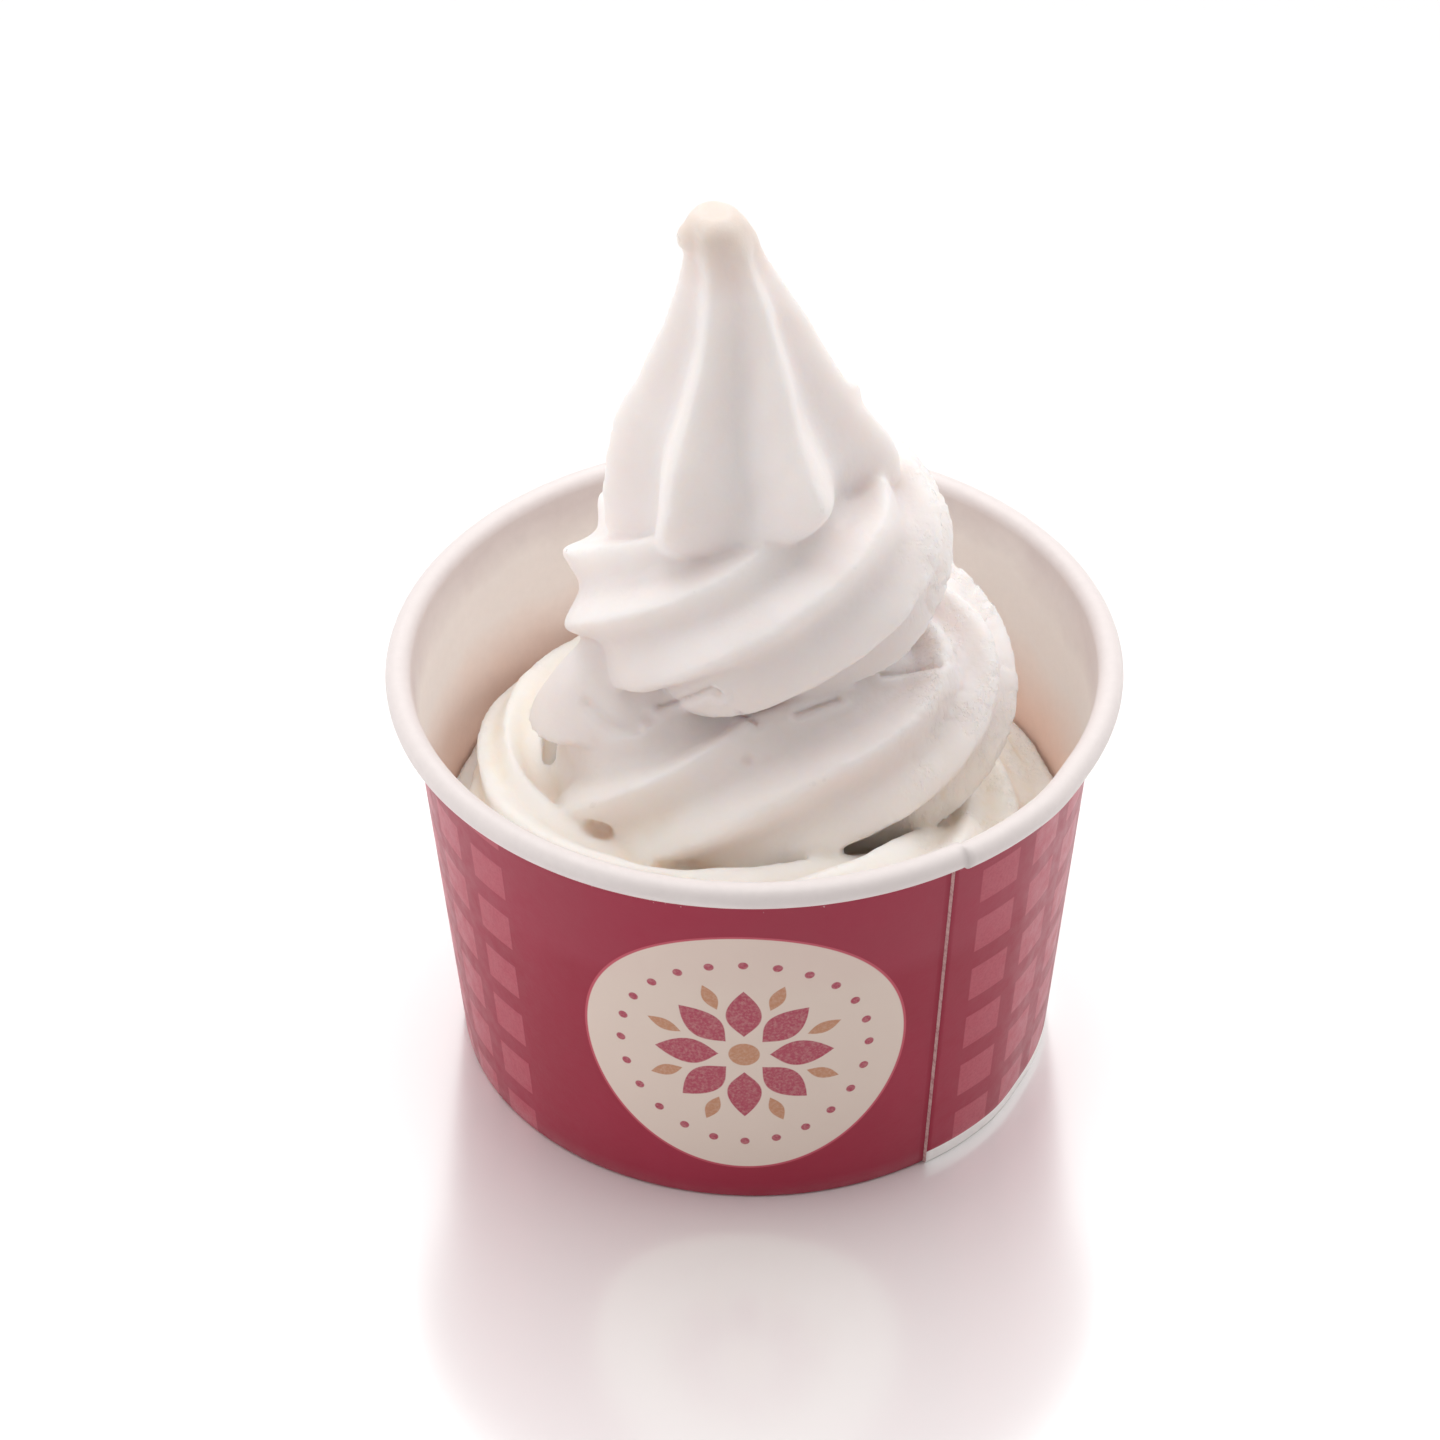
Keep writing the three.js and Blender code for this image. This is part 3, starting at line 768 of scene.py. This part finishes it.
class Nodes:
    """A new material's node tree, with short calls for the nodes used here."""

    def __init__(self, name):
        self.material = bpy.data.materials.new(name)
        self.material.use_nodes = True
        self.tree = self.material.node_tree
        self.tree.nodes.clear()
        self.output = self.tree.nodes.new("ShaderNodeOutputMaterial")
        self.shader = self.add("ShaderNodeBsdfPrincipled")
        self.link(self.shader.outputs["BSDF"], self.output.inputs["Surface"])

    def add(self, kind, **settings):
        node = self.tree.nodes.new(kind)
        for key, value in settings.items():
            setattr(node, key, value)
        return node

    def link(self, source, target):
        self.tree.links.new(source, target)

    def feed(self, value, socket):
        if isinstance(value, bpy.types.NodeSocket):
            self.link(value, socket)
        else:
            socket.default_value = value

    def math(self, operation, *values):
        node = self.add("ShaderNodeMath", operation=operation)
        for value, socket in zip(values, node.inputs):
            self.feed(value, socket)
        return node.outputs[0]

    def span(self, value, from_low, from_high, to_low=0.0, to_high=1.0):
        """A value mapped from one range to another and held within it."""
        node = self.add("ShaderNodeMapRange", clamp=True)
        for key, number in zip(
            ("Value", "From Min", "From Max", "To Min", "To Max"),
            (value, from_low, from_high, to_low, to_high),
        ):
            self.feed(number, node.inputs[key])
        return node.outputs["Result"]

    def mix(self, share, first, second):
        """Two colours mixed, through the colour sockets of a Mix node."""
        node = self.add("ShaderNodeMix", data_type="RGBA")
        self.feed(share, node.inputs[0])
        self.feed(first, node.inputs[6])
        self.feed(second, node.inputs[7])
        return node.outputs[2]

    def place(self):
        return self.add("ShaderNodeTexCoord").outputs["Object"]

    def parts(self, vector):
        node = self.add("ShaderNodeSeparateXYZ")
        self.link(vector, node.inputs[0])
        return node.outputs

    def height(self):
        return self.parts(self.place())[2]

    def wandering_height(self, noise, reach):
        """The height, raised or lowered by lumps of noise that cover so many mm."""
        wander = self.math("MULTIPLY", self.math("SUBTRACT", self.noise(noise), 0.5), reach * MM)
        return self.math("ADD", self.height(), wander)

    def attribute(self, name):
        return self.add("ShaderNodeAttribute", attribute_name=name).outputs["Fac"]

    def noise(self, kind, vector=None):
        node = self.add("ShaderNodeTexNoise")
        for key, value in zip(("Scale", "Detail", "Roughness"), kind):
            node.inputs[key].default_value = value
        self.link(vector if vector is not None else self.place(), node.inputs["Vector"])
        return node.outputs["Fac"]

    def bump(self, height, distance, under=None):
        """A bump of so many mm, laid over another."""
        node = self.add("ShaderNodeBump")
        node.inputs["Distance"].default_value = distance * MM
        self.link(height, node.inputs["Height"])
        if under is not None:
            self.link(under, node.inputs["Normal"])
        return node.outputs["Normal"]


def yogurt_colour(n):
    level = n.wandering_height(TINT_WANDER, TINT_WANDER_HEIGHT)
    colour = n.mix(n.span(level, *CREAM_LEVELS), srgb(*YOGURT_PINK), srgb(*YOGURT_CREAM))
    colour = n.mix(n.span(n.height(), *TIP_LEVELS), colour, srgb(*YOGURT_TIP))
    # Painted shade: tan in the hollows deep down between the coils.
    painted_tan_shade = n.math("MULTIPLY", n.attribute("hollow"), n.span(level, *PAINTED_SHADE_LEVELS))
    return n.mix(n.math("MULTIPLY", painted_tan_shade, YOGURT_PAINTED_SHADE_SHARE), colour, srgb(*YOGURT_PAINTED_SHADE))


def yogurt_roughness(n):
    """Patches more and less dull, with wet stretches along the crests of the ridges."""
    dull = n.span(n.noise(YOGURT_PATCHES), *NOISE_REACH, *YOGURT_ROUGHNESS)
    crests = n.span(n.attribute("crest"), *WET_CRESTS)
    wet = n.math("MULTIPLY", crests, n.span(n.noise(WET_PATCHES), *WET_SHARE))
    return n.math("SUBTRACT", dull, n.math("MULTIPLY", wet, WET_GAIN))


def stretch_marks(n):
    """Short upright cracks on the right flank, where the strand was pulled round the bend."""
    place = n.place()
    upright = n.add("ShaderNodeMapping")
    upright.inputs["Scale"].default_value = (1.0, 1.0, MARKS_FLATTENING)
    n.link(place, upright.inputs["Vector"])
    cracks = n.span(n.noise(MARKS, vector=upright.outputs[0]), *MARKS_EDGE)
    on_flank = n.span(n.parts(place)[0], NICK_SIDE * MM, (NICK_SIDE + NICK_FADE) * MM)
    patches = n.span(n.noise(MARKS_PATCHES), *MARKS_SHARE)
    return n.math("SUBTRACT", 1.0, n.math("MULTIPLY", n.math("MULTIPLY", on_flank, patches), cracks))


def yogurt_material():
    n = Nodes("frozen_yogurt_cream")
    n.feed(yogurt_colour(n), n.shader.inputs["Base Color"])
    n.feed(yogurt_roughness(n), n.shader.inputs["Roughness"])
    n.shader.inputs["Subsurface Weight"].default_value = 1.0
    n.shader.inputs["Subsurface Radius"].default_value = SCATTER_RADIUS
    n.shader.inputs["Subsurface Scale"].default_value = SCATTER_SCALE * MM
    coarse = n.bump(n.noise(COARSE_GRAIN), COARSE_DEPTH)
    fine = n.bump(n.noise(FINE_GRAIN), FINE_DEPTH, under=coarse)
    n.feed(n.bump(stretch_marks(n), MARKS_DEPTH, under=fine), n.shader.inputs["Normal"])
    return n.material


def board_material():
    """White board, with painted shade: greyer on the rolled rim and warmer and darker down inside the
    cup.
    """
    n = Nodes("white_board")
    fibres = n.noise(BOARD_FIBRES)
    level = n.wandering_height(PAINTED_SHADE_WANDER, PAINTED_SHADE_WANDER_HEIGHT)
    # Painted shade: greyer on the rolled rim.
    colour = n.mix(n.span(level, *RIM_LEVELS), srgb(*BOARD_RIM_PAINTED_SHADE), srgb(*BOARD_WALL))
    # Painted shade: warmer and darker low down inside the cup.
    colour = n.mix(n.span(level, *DEEP_LEVELS), colour, srgb(*BOARD_DEEP_PAINTED_SHADE))
    grained = n.add("ShaderNodeHueSaturation")
    n.feed(colour, grained.inputs["Color"])
    n.feed(n.span(fibres, *NOISE_REACH, *FIBRE_SHADE), grained.inputs["Value"])
    n.feed(grained.outputs[0], n.shader.inputs["Base Color"])
    roughness = n.span(n.noise(BOARD_PATCHES), *NOISE_REACH, *BOARD_ROUGHNESS)
    n.feed(roughness, n.shader.inputs["Roughness"])
    n.feed(n.bump(fibres, FIBRE_DEPTH), n.shader.inputs["Normal"])
    return n.material


# ---- The print, in degrees round the wall and mm up it -------------------------------------------
PRINT_MAP_UNIT = 100.0  # degrees or mm in each unit of the UV map
PRINT_RADIUS = 41.6  # of the wall halfway up, which turns degrees into mm
SQUARE_WIDTH = 8.8  # degrees
SQUARE_HEIGHT = 5.7
SQUARE_PITCH = 13.2  # degrees
SQUARE_RISE = 8.75  # mm from one row to the next
SQUARES_START = 40.2  # left edge of the first column after the seam
SQUARES_END = 312.5  # near the right edge of the last column before the medallion
SQUARES_FOOT = 1.5  # bottom edge of the lowest row at the seam
SQUARES_DROP = 3.0  # how much lower the rows lie by the last column
# Squares are drawn only between these.
FIELD_START = SQUARES_START - 0.5
FIELD_END = SQUARES_END + 0.3
SIDE_BLUR = 0.12  # degrees, half the width of a square's blurred sides
TOP_BLUR = 0.08  # mm
EDGE_BLUR = 0.05
MEDALLION_ANGLE = 358.0
MEDALLION_HEIGHT = 27.0
MEDALLION_RADIUS = 21.0
OUTLINE_WIDTH = 0.35
SOFT_EDGE = 0.06  # half the width of an ink's blurred edge
PETALS = 8
# [inner end, outer end, half width], from the middle of the medallion
LARGE_PETAL = (3.2, 11.6, 2.3)
SMALL_PETAL = (8.6, 13.4, 1.0)
CENTRE_DOT = 2.0
BORDER_DOTS = 24
BORDER_DOT_RING = 16.2
BORDER_DOT = 0.62
BARE_EDGE = 2.3  # unprinted strip along the foot, widest just after the seam
BARE_EDGE_ENDS = 290.0

CRIMSON = (160, 37, 64)
CRIMSON_WARM = (155, 34, 59)
SQUARE_PINK = (184, 80, 96)
MEDALLION_CREAM = (230, 212, 200)
MOTIF_CRIMSON = (176, 72, 92)
MOTIF_TAN = (196, 140, 108)
OUTLINE_PINK = (196, 84, 100)
CUT_EDGE = (232, 196, 192)
# Painted reflection: a pink haze over the upper part of the print.
PAINTED_REFLECTION_PINK = (216, 140, 158)
PAINTED_REFLECTION_HEIGHTS = (37.0, 40.0)  # where the painted reflection starts, over the upper print
PAINTED_REFLECTION_SHARE = (0.02, 0.07)
BARE_BOARD = (246, 242, 240)

PRINT_GRAIN = (2600.0, 2.0, 0.6)
PRINT_MOTTLE = (60.0, 3.0, 0.5)
MOTTLE_SPLIT = (0.35, 0.65)
SQUARE_INK = (0.25, 0.6, 0.6, 1.0)  # from the grain to the share of ink that took
MOTIF_INK = (0.3, 0.6, 0.78, 1.0)
WORN_FLECKS = (1100.0, 2.0, 0.7)
WORN_SHARE = (0.69, 0.72)
WORN_HEIGHTS = (52.5, 54.5)
FRAYED_CUT = (1300.0, 3.0, 0.7)
FRAYED_INK = (0.3, 0.6, 0.25, 0.8)
PRINT_FIBRES = (1100.0, 4.0, 0.65)
PRINT_PATCHES = (500.0, 3.0, 0.5)
PRINT_ROUGHNESS = (0.3, 0.42)
PRINT_SPECULAR = 0.28


def print_coordinates(n):
    """Degrees round the wall, and mm up it."""
    uv = n.parts(n.add("ShaderNodeUVMap", uv_map="print").outputs["UV"])
    return n.math("MULTIPLY", uv[0], PRINT_MAP_UNIT), n.math("MULTIPLY", uv[1], PRINT_MAP_UNIT)


def within(n, value, low, high, edge):
    """1 between two limits and 0 outside them, with a soft edge."""
    above = n.span(value, low - edge, low + edge)
    return n.math("MULTIPLY", above, n.span(value, high + edge, high - edge))


def disc(n, distance, radius):
    return n.span(distance, radius + SOFT_EDGE, radius - SOFT_EDGE)


def hypotenuse(n, first, second):
    squares = n.math("ADD", n.math("MULTIPLY", first, first), n.math("MULTIPLY", second, second))
    return n.math("SQRT", squares)


def squares_mask(n, angle, height):
    """Columns of squares round the side and back."""
    along = n.math("SUBTRACT", angle, SQUARES_START)
    column = n.math("MODULO", along, SQUARE_PITCH)
    drop = n.span(angle, SQUARES_START, SQUARES_END, 0.0, SQUARES_DROP)
    lifted = n.math("ADD", n.math("SUBTRACT", height, SQUARES_FOOT - SQUARE_RISE), drop)
    row = n.math("MODULO", lifted, SQUARE_RISE)
    in_column = within(n, column, 0.0, SQUARE_WIDTH, SIDE_BLUR)
    in_row = within(n, row, 0.0, SQUARE_HEIGHT, TOP_BLUR)
    in_field = within(n, angle, FIELD_START, FIELD_END, EDGE_BLUR)
    return n.math("MULTIPLY", n.math("MULTIPLY", in_column, in_row), in_field)


def medallion_coordinates(n, angle, height):
    """Distance from the medallion's middle in mm, and the angle round it."""
    from_middle = n.math("SUBTRACT", angle, MEDALLION_ANGLE)
    across = n.math("MULTIPLY", from_middle, math.radians(PRINT_RADIUS))
    up = n.math("SUBTRACT", height, MEDALLION_HEIGHT)
    return hypotenuse(n, across, up), n.math("ARCTAN2", across, up)


def turn_from_nearest(n, turn, count):
    """The angle from the nearest of so many rays, evenly spread."""
    sector = math.tau / count
    shifted = n.math("MODULO", n.math("ADD", turn, sector * (count + 0.5)), sector)
    return n.math("SUBTRACT", shifted, sector / 2)


def petals_mask(n, distance, turn, inner, outer, width):
    """A ring of leaf-shaped petals, pointed at both ends."""
    nearest = turn_from_nearest(n, turn, PETALS)
    sideways = n.math("ABSOLUTE", n.math("MULTIPLY", n.math("SINE", nearest), distance))
    along = n.span(distance, inner, outer)
    swell = n.math("SINE", n.math("MULTIPLY", along, math.pi))
    inside = n.math("SUBTRACT", n.math("MULTIPLY", swell, width), sideways)
    return n.span(inside, 0.0, 2 * SOFT_EDGE)


def dots_mask(n, distance, turn):
    """A ring of round dots."""
    sideways = n.math("MULTIPLY", turn_from_nearest(n, turn, BORDER_DOTS), BORDER_DOT_RING)
    inward = n.math("SUBTRACT", distance, BORDER_DOT_RING)
    return disc(n, hypotenuse(n, sideways, inward), BORDER_DOT)


def field_colour(n, angle, height, grain, mottle):
    """The mottled field with its squares."""
    colour = n.mix(n.span(mottle, *MOTTLE_SPLIT), srgb(*CRIMSON), srgb(*CRIMSON_WARM))
    share = n.math("MULTIPLY", squares_mask(n, angle, height), n.span(grain, *SQUARE_INK))
    return n.mix(share, colour, srgb(*SQUARE_PINK))


def medallion_colour(n, field, angle, height, grain):
    """The medallion with its outline and a plain rosette, laid over the field."""
    distance, turn = medallion_coordinates(n, angle, height)
    outline = disc(n, distance, MEDALLION_RADIUS + OUTLINE_WIDTH)
    colour = n.mix(outline, field, srgb(*OUTLINE_PINK))
    colour = n.mix(disc(n, distance, MEDALLION_RADIUS), colour, srgb(*MEDALLION_CREAM))
    between = n.math("ADD", turn, math.pi / PETALS)
    ink = n.span(grain, *MOTIF_INK)
    for mask, tone in (
        (petals_mask(n, distance, turn, *LARGE_PETAL), MOTIF_CRIMSON),
        (petals_mask(n, distance, between, *SMALL_PETAL), MOTIF_TAN),
        (disc(n, distance, CENTRE_DOT), MOTIF_TAN),
        (dots_mask(n, distance, turn), MOTIF_CRIMSON),
    ):
        colour = n.mix(n.math("MULTIPLY", mask, ink), colour, srgb(*tone))
    return colour


def wear_and_reflection_colour(n, printed, angle, height, mottle):
    """The print with a painted pink reflection over its upper part, flecks near the rim, the frayed cut
    at the seam and the bare foot.
    """
    # Painted reflection: a pink haze over the upper print.
    painted_reflection = n.math("MULTIPLY", n.span(height, *PAINTED_REFLECTION_HEIGHTS), n.span(mottle, *NOISE_REACH, *PAINTED_REFLECTION_SHARE))
    colour = n.mix(painted_reflection, printed, srgb(*PAINTED_REFLECTION_PINK))
    flecks = n.math("MULTIPLY", n.span(n.noise(WORN_FLECKS), *WORN_SHARE), n.span(height, *WORN_HEIGHTS))
    colour = n.mix(flecks, colour, srgb(*BARE_BOARD))
    seam = SEAM_OUTER_EDGE + TURN
    cut = n.span(angle, seam - 2 * SEAM_EDGE_HALF, seam - SEAM_EDGE_HALF)
    frayed = n.math("MULTIPLY", cut, n.span(n.noise(FRAYED_CUT), *FRAYED_INK))
    colour = n.mix(frayed, colour, srgb(*CUT_EDGE))
    bare = n.span(angle, SEAM_OUTER_EDGE, BARE_EDGE_ENDS, BARE_EDGE, 0.0)
    above_bare = n.span(n.math("SUBTRACT", height, bare), -EDGE_BLUR, EDGE_BLUR)
    return n.mix(above_bare, srgb(*BARE_BOARD), colour)


def print_colour(n):
    angle, height = print_coordinates(n)
    grain = n.noise(PRINT_GRAIN)
    mottle = n.noise(PRINT_MOTTLE)
    field = field_colour(n, angle, height, grain, mottle)
    printed = medallion_colour(n, field, angle, height, grain)
    return wear_and_reflection_colour(n, printed, angle, height, mottle)


def print_material():
    n = Nodes("printed_board")
    n.feed(print_colour(n), n.shader.inputs["Base Color"])
    roughness = n.span(n.noise(PRINT_PATCHES), *NOISE_REACH, *PRINT_ROUGHNESS)
    n.feed(roughness, n.shader.inputs["Roughness"])
    n.shader.inputs["Specular IOR Level"].default_value = PRINT_SPECULAR
    n.feed(n.bump(n.noise(PRINT_FIBRES), FIBRE_DEPTH), n.shader.inputs["Normal"])
    return n.material


# ---- Floor, light and camera, in metres unless they say otherwise --------------------------------
FLOOR_SIZE = 6.0
FLOOR_COLOUR = (0.965, 0.95, 0.955, 1)
FLOOR_ROUGHNESS = 0.6
GLOSS_ROUGHNESS = 0.18
GLOSS_SHARE = 0.22
WHITE = (1, 1, 1, 1)
SKY_SEEN = 1.0  # strength, where the camera sees it
SKY_TINT = (1, 0.985, 0.97, 1)
SKY_LIGHT = 0.39
SKY_FROM_SIDES = 0.6  # added straight from the left and right
SKY_LOST_IN_FRONT = 0.32
LIGHTS_AIM = (0, 0, 0.05)
OVERHEAD_PLACE = (0.08, 0.42, 1.28)
OVERHEAD_SIZE = (1.9, 1.9)
OVERHEAD_POWER = 20.5
LEFT_CARD_PLACE = (-0.9, -0.5, 0.28)
LEFT_CARD_SIZE = (0.5, 0.6)
LEFT_CARD_POWER = 1.5
CAMERA_PLACE = (0.475, -670.26, 583.75)  # mm
CAMERA_PITCH = 38.63  # degrees down
CAMERA_YAW = -0.4227
CAMERA_ROLL = -0.4592
CAMERA_SENSOR = 36.0  # mm, as is the lens
CAMERA_LENS = 165.5
CAMERA_NEAR = 0.01


def build_floor():
    """A white floor with a faint, blurred gloss."""
    half = FLOOR_SIZE / 2
    corners = np.array([(-half, -half, 0.0), (half, -half, 0.0), (half, half, 0.0), (-half, half, 0.0)])
    floor = new_object("floor", mesh_of("floor", corners, [[0, 1, 2, 3]]))
    n = Nodes("floor_gloss")
    n.shader.inputs["Base Color"].default_value = FLOOR_COLOUR
    n.shader.inputs["Roughness"].default_value = FLOOR_ROUGHNESS
    gloss = n.add("ShaderNodeBsdfGlossy")
    gloss.inputs["Roughness"].default_value = GLOSS_ROUGHNESS
    gloss.inputs["Color"].default_value = WHITE
    both = n.add("ShaderNodeMixShader")
    both.inputs[0].default_value = GLOSS_SHARE
    n.link(n.shader.outputs["BSDF"], both.inputs[1])
    n.link(gloss.outputs["BSDF"], both.inputs[2])
    n.link(both.outputs[0], n.output.inputs["Surface"])
    floor.data.materials.append(n.material)
    return floor


class SkyNodes(Nodes):
    """The same short calls for a world's node tree."""

    def __init__(self, name):
        self.world = bpy.data.worlds.new(name)
        self.world.use_nodes = True
        self.tree = self.world.node_tree
        self.tree.nodes.clear()
        self.output = self.tree.nodes.new("ShaderNodeOutputWorld")

    def background(self, colour, strength):
        node = self.add("ShaderNodeBackground")
        node.inputs["Color"].default_value = colour
        self.feed(strength, node.inputs["Strength"])
        return node.outputs[0]


def build_sky():
    """Plain white to the camera. As light it's stronger from both sides and weaker from the front."""
    n = SkyNodes("studio")
    bpy.context.scene.world = n.world
    direction = n.parts(n.add("ShaderNodeTexCoord").outputs["Generated"])
    sideways = direction[0]
    backwards = direction[1]
    forwards = n.math("MAXIMUM", n.math("MULTIPLY", backwards, -1.0), 0.0)
    gain = n.math("MULTIPLY", n.math("MULTIPLY", sideways, sideways), SKY_FROM_SIDES)
    loss = n.math("MULTIPLY", n.math("MULTIPLY", forwards, forwards), SKY_LOST_IN_FRONT)
    strength = n.math("SUBTRACT", n.math("ADD", gain, SKY_LIGHT), loss)
    mix = n.add("ShaderNodeMixShader")
    n.link(n.add("ShaderNodeLightPath").outputs["Is Camera Ray"], mix.inputs[0])
    n.link(n.background(SKY_TINT, strength), mix.inputs[1])
    n.link(n.background(WHITE, SKY_SEEN), mix.inputs[2])
    n.link(mix.outputs[0], n.output.inputs[0])


def soft_box(name, place, size, power):
    light = bpy.data.lights.new(name, "AREA")
    light.shape = "RECTANGLE"
    light.size, light.size_y = size
    light.energy = power
    obj = new_object(name, light)
    obj.location = place
    obj.rotation_euler = (Vector(LIGHTS_AIM) - Vector(place)).to_track_quat("-Z", "Y").to_euler()


def build_camera():
    """The photograph's viewpoint, worked out from the rim's and the foot's outlines."""
    camera = bpy.data.cameras.new("camera")
    camera.sensor_width = CAMERA_SENSOR
    camera.lens = CAMERA_LENS
    camera.clip_start = CAMERA_NEAR
    obj = new_object("camera", camera)
    pitch, yaw, roll = (math.radians(v) for v in (CAMERA_PITCH, CAMERA_YAW, CAMERA_ROLL))
    level = math.cos(pitch)
    forward = Vector((math.sin(yaw) * level, math.cos(yaw) * level, -math.sin(pitch)))
    right = Vector((math.cos(yaw), -math.sin(yaw), 0))
    up = right.cross(forward)
    across = math.cos(roll) * right + math.sin(roll) * up
    upward = -math.sin(roll) * right + math.cos(roll) * up
    turn = Matrix((across, upward, -forward)).transposed()
    obj.matrix_world = Matrix.Translation(Vector(CAMERA_PLACE) * MM) @ turn.to_4x4()
    bpy.context.scene.camera = obj


# ---- The whole ---------------------------------------------------------------------------------
def main():
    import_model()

    board = board_material()
    wall = to_metres(build_sidewall())
    wall.data.materials.append(print_material())
    wall.data.materials.append(board)
    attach(wall, "root")
    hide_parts("cup_sidewall")

    base = to_metres(build_base())
    base.data.materials.append(board)
    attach(base, "root")
    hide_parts("cup_base")

    yogurt = to_metres(build_yogurt())
    yogurt.data.materials.append(yogurt_material())
    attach(yogurt, "root")
    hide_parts("frozen_yogurt")

    build_floor()
    build_sky()
    soft_box("overhead", OVERHEAD_PLACE, OVERHEAD_SIZE, OVERHEAD_POWER)
    soft_box("left_card", LEFT_CARD_PLACE, LEFT_CARD_SIZE, LEFT_CARD_POWER)
    build_camera()
    bpy.context.scene.view_settings.view_transform = "Standard"


main()
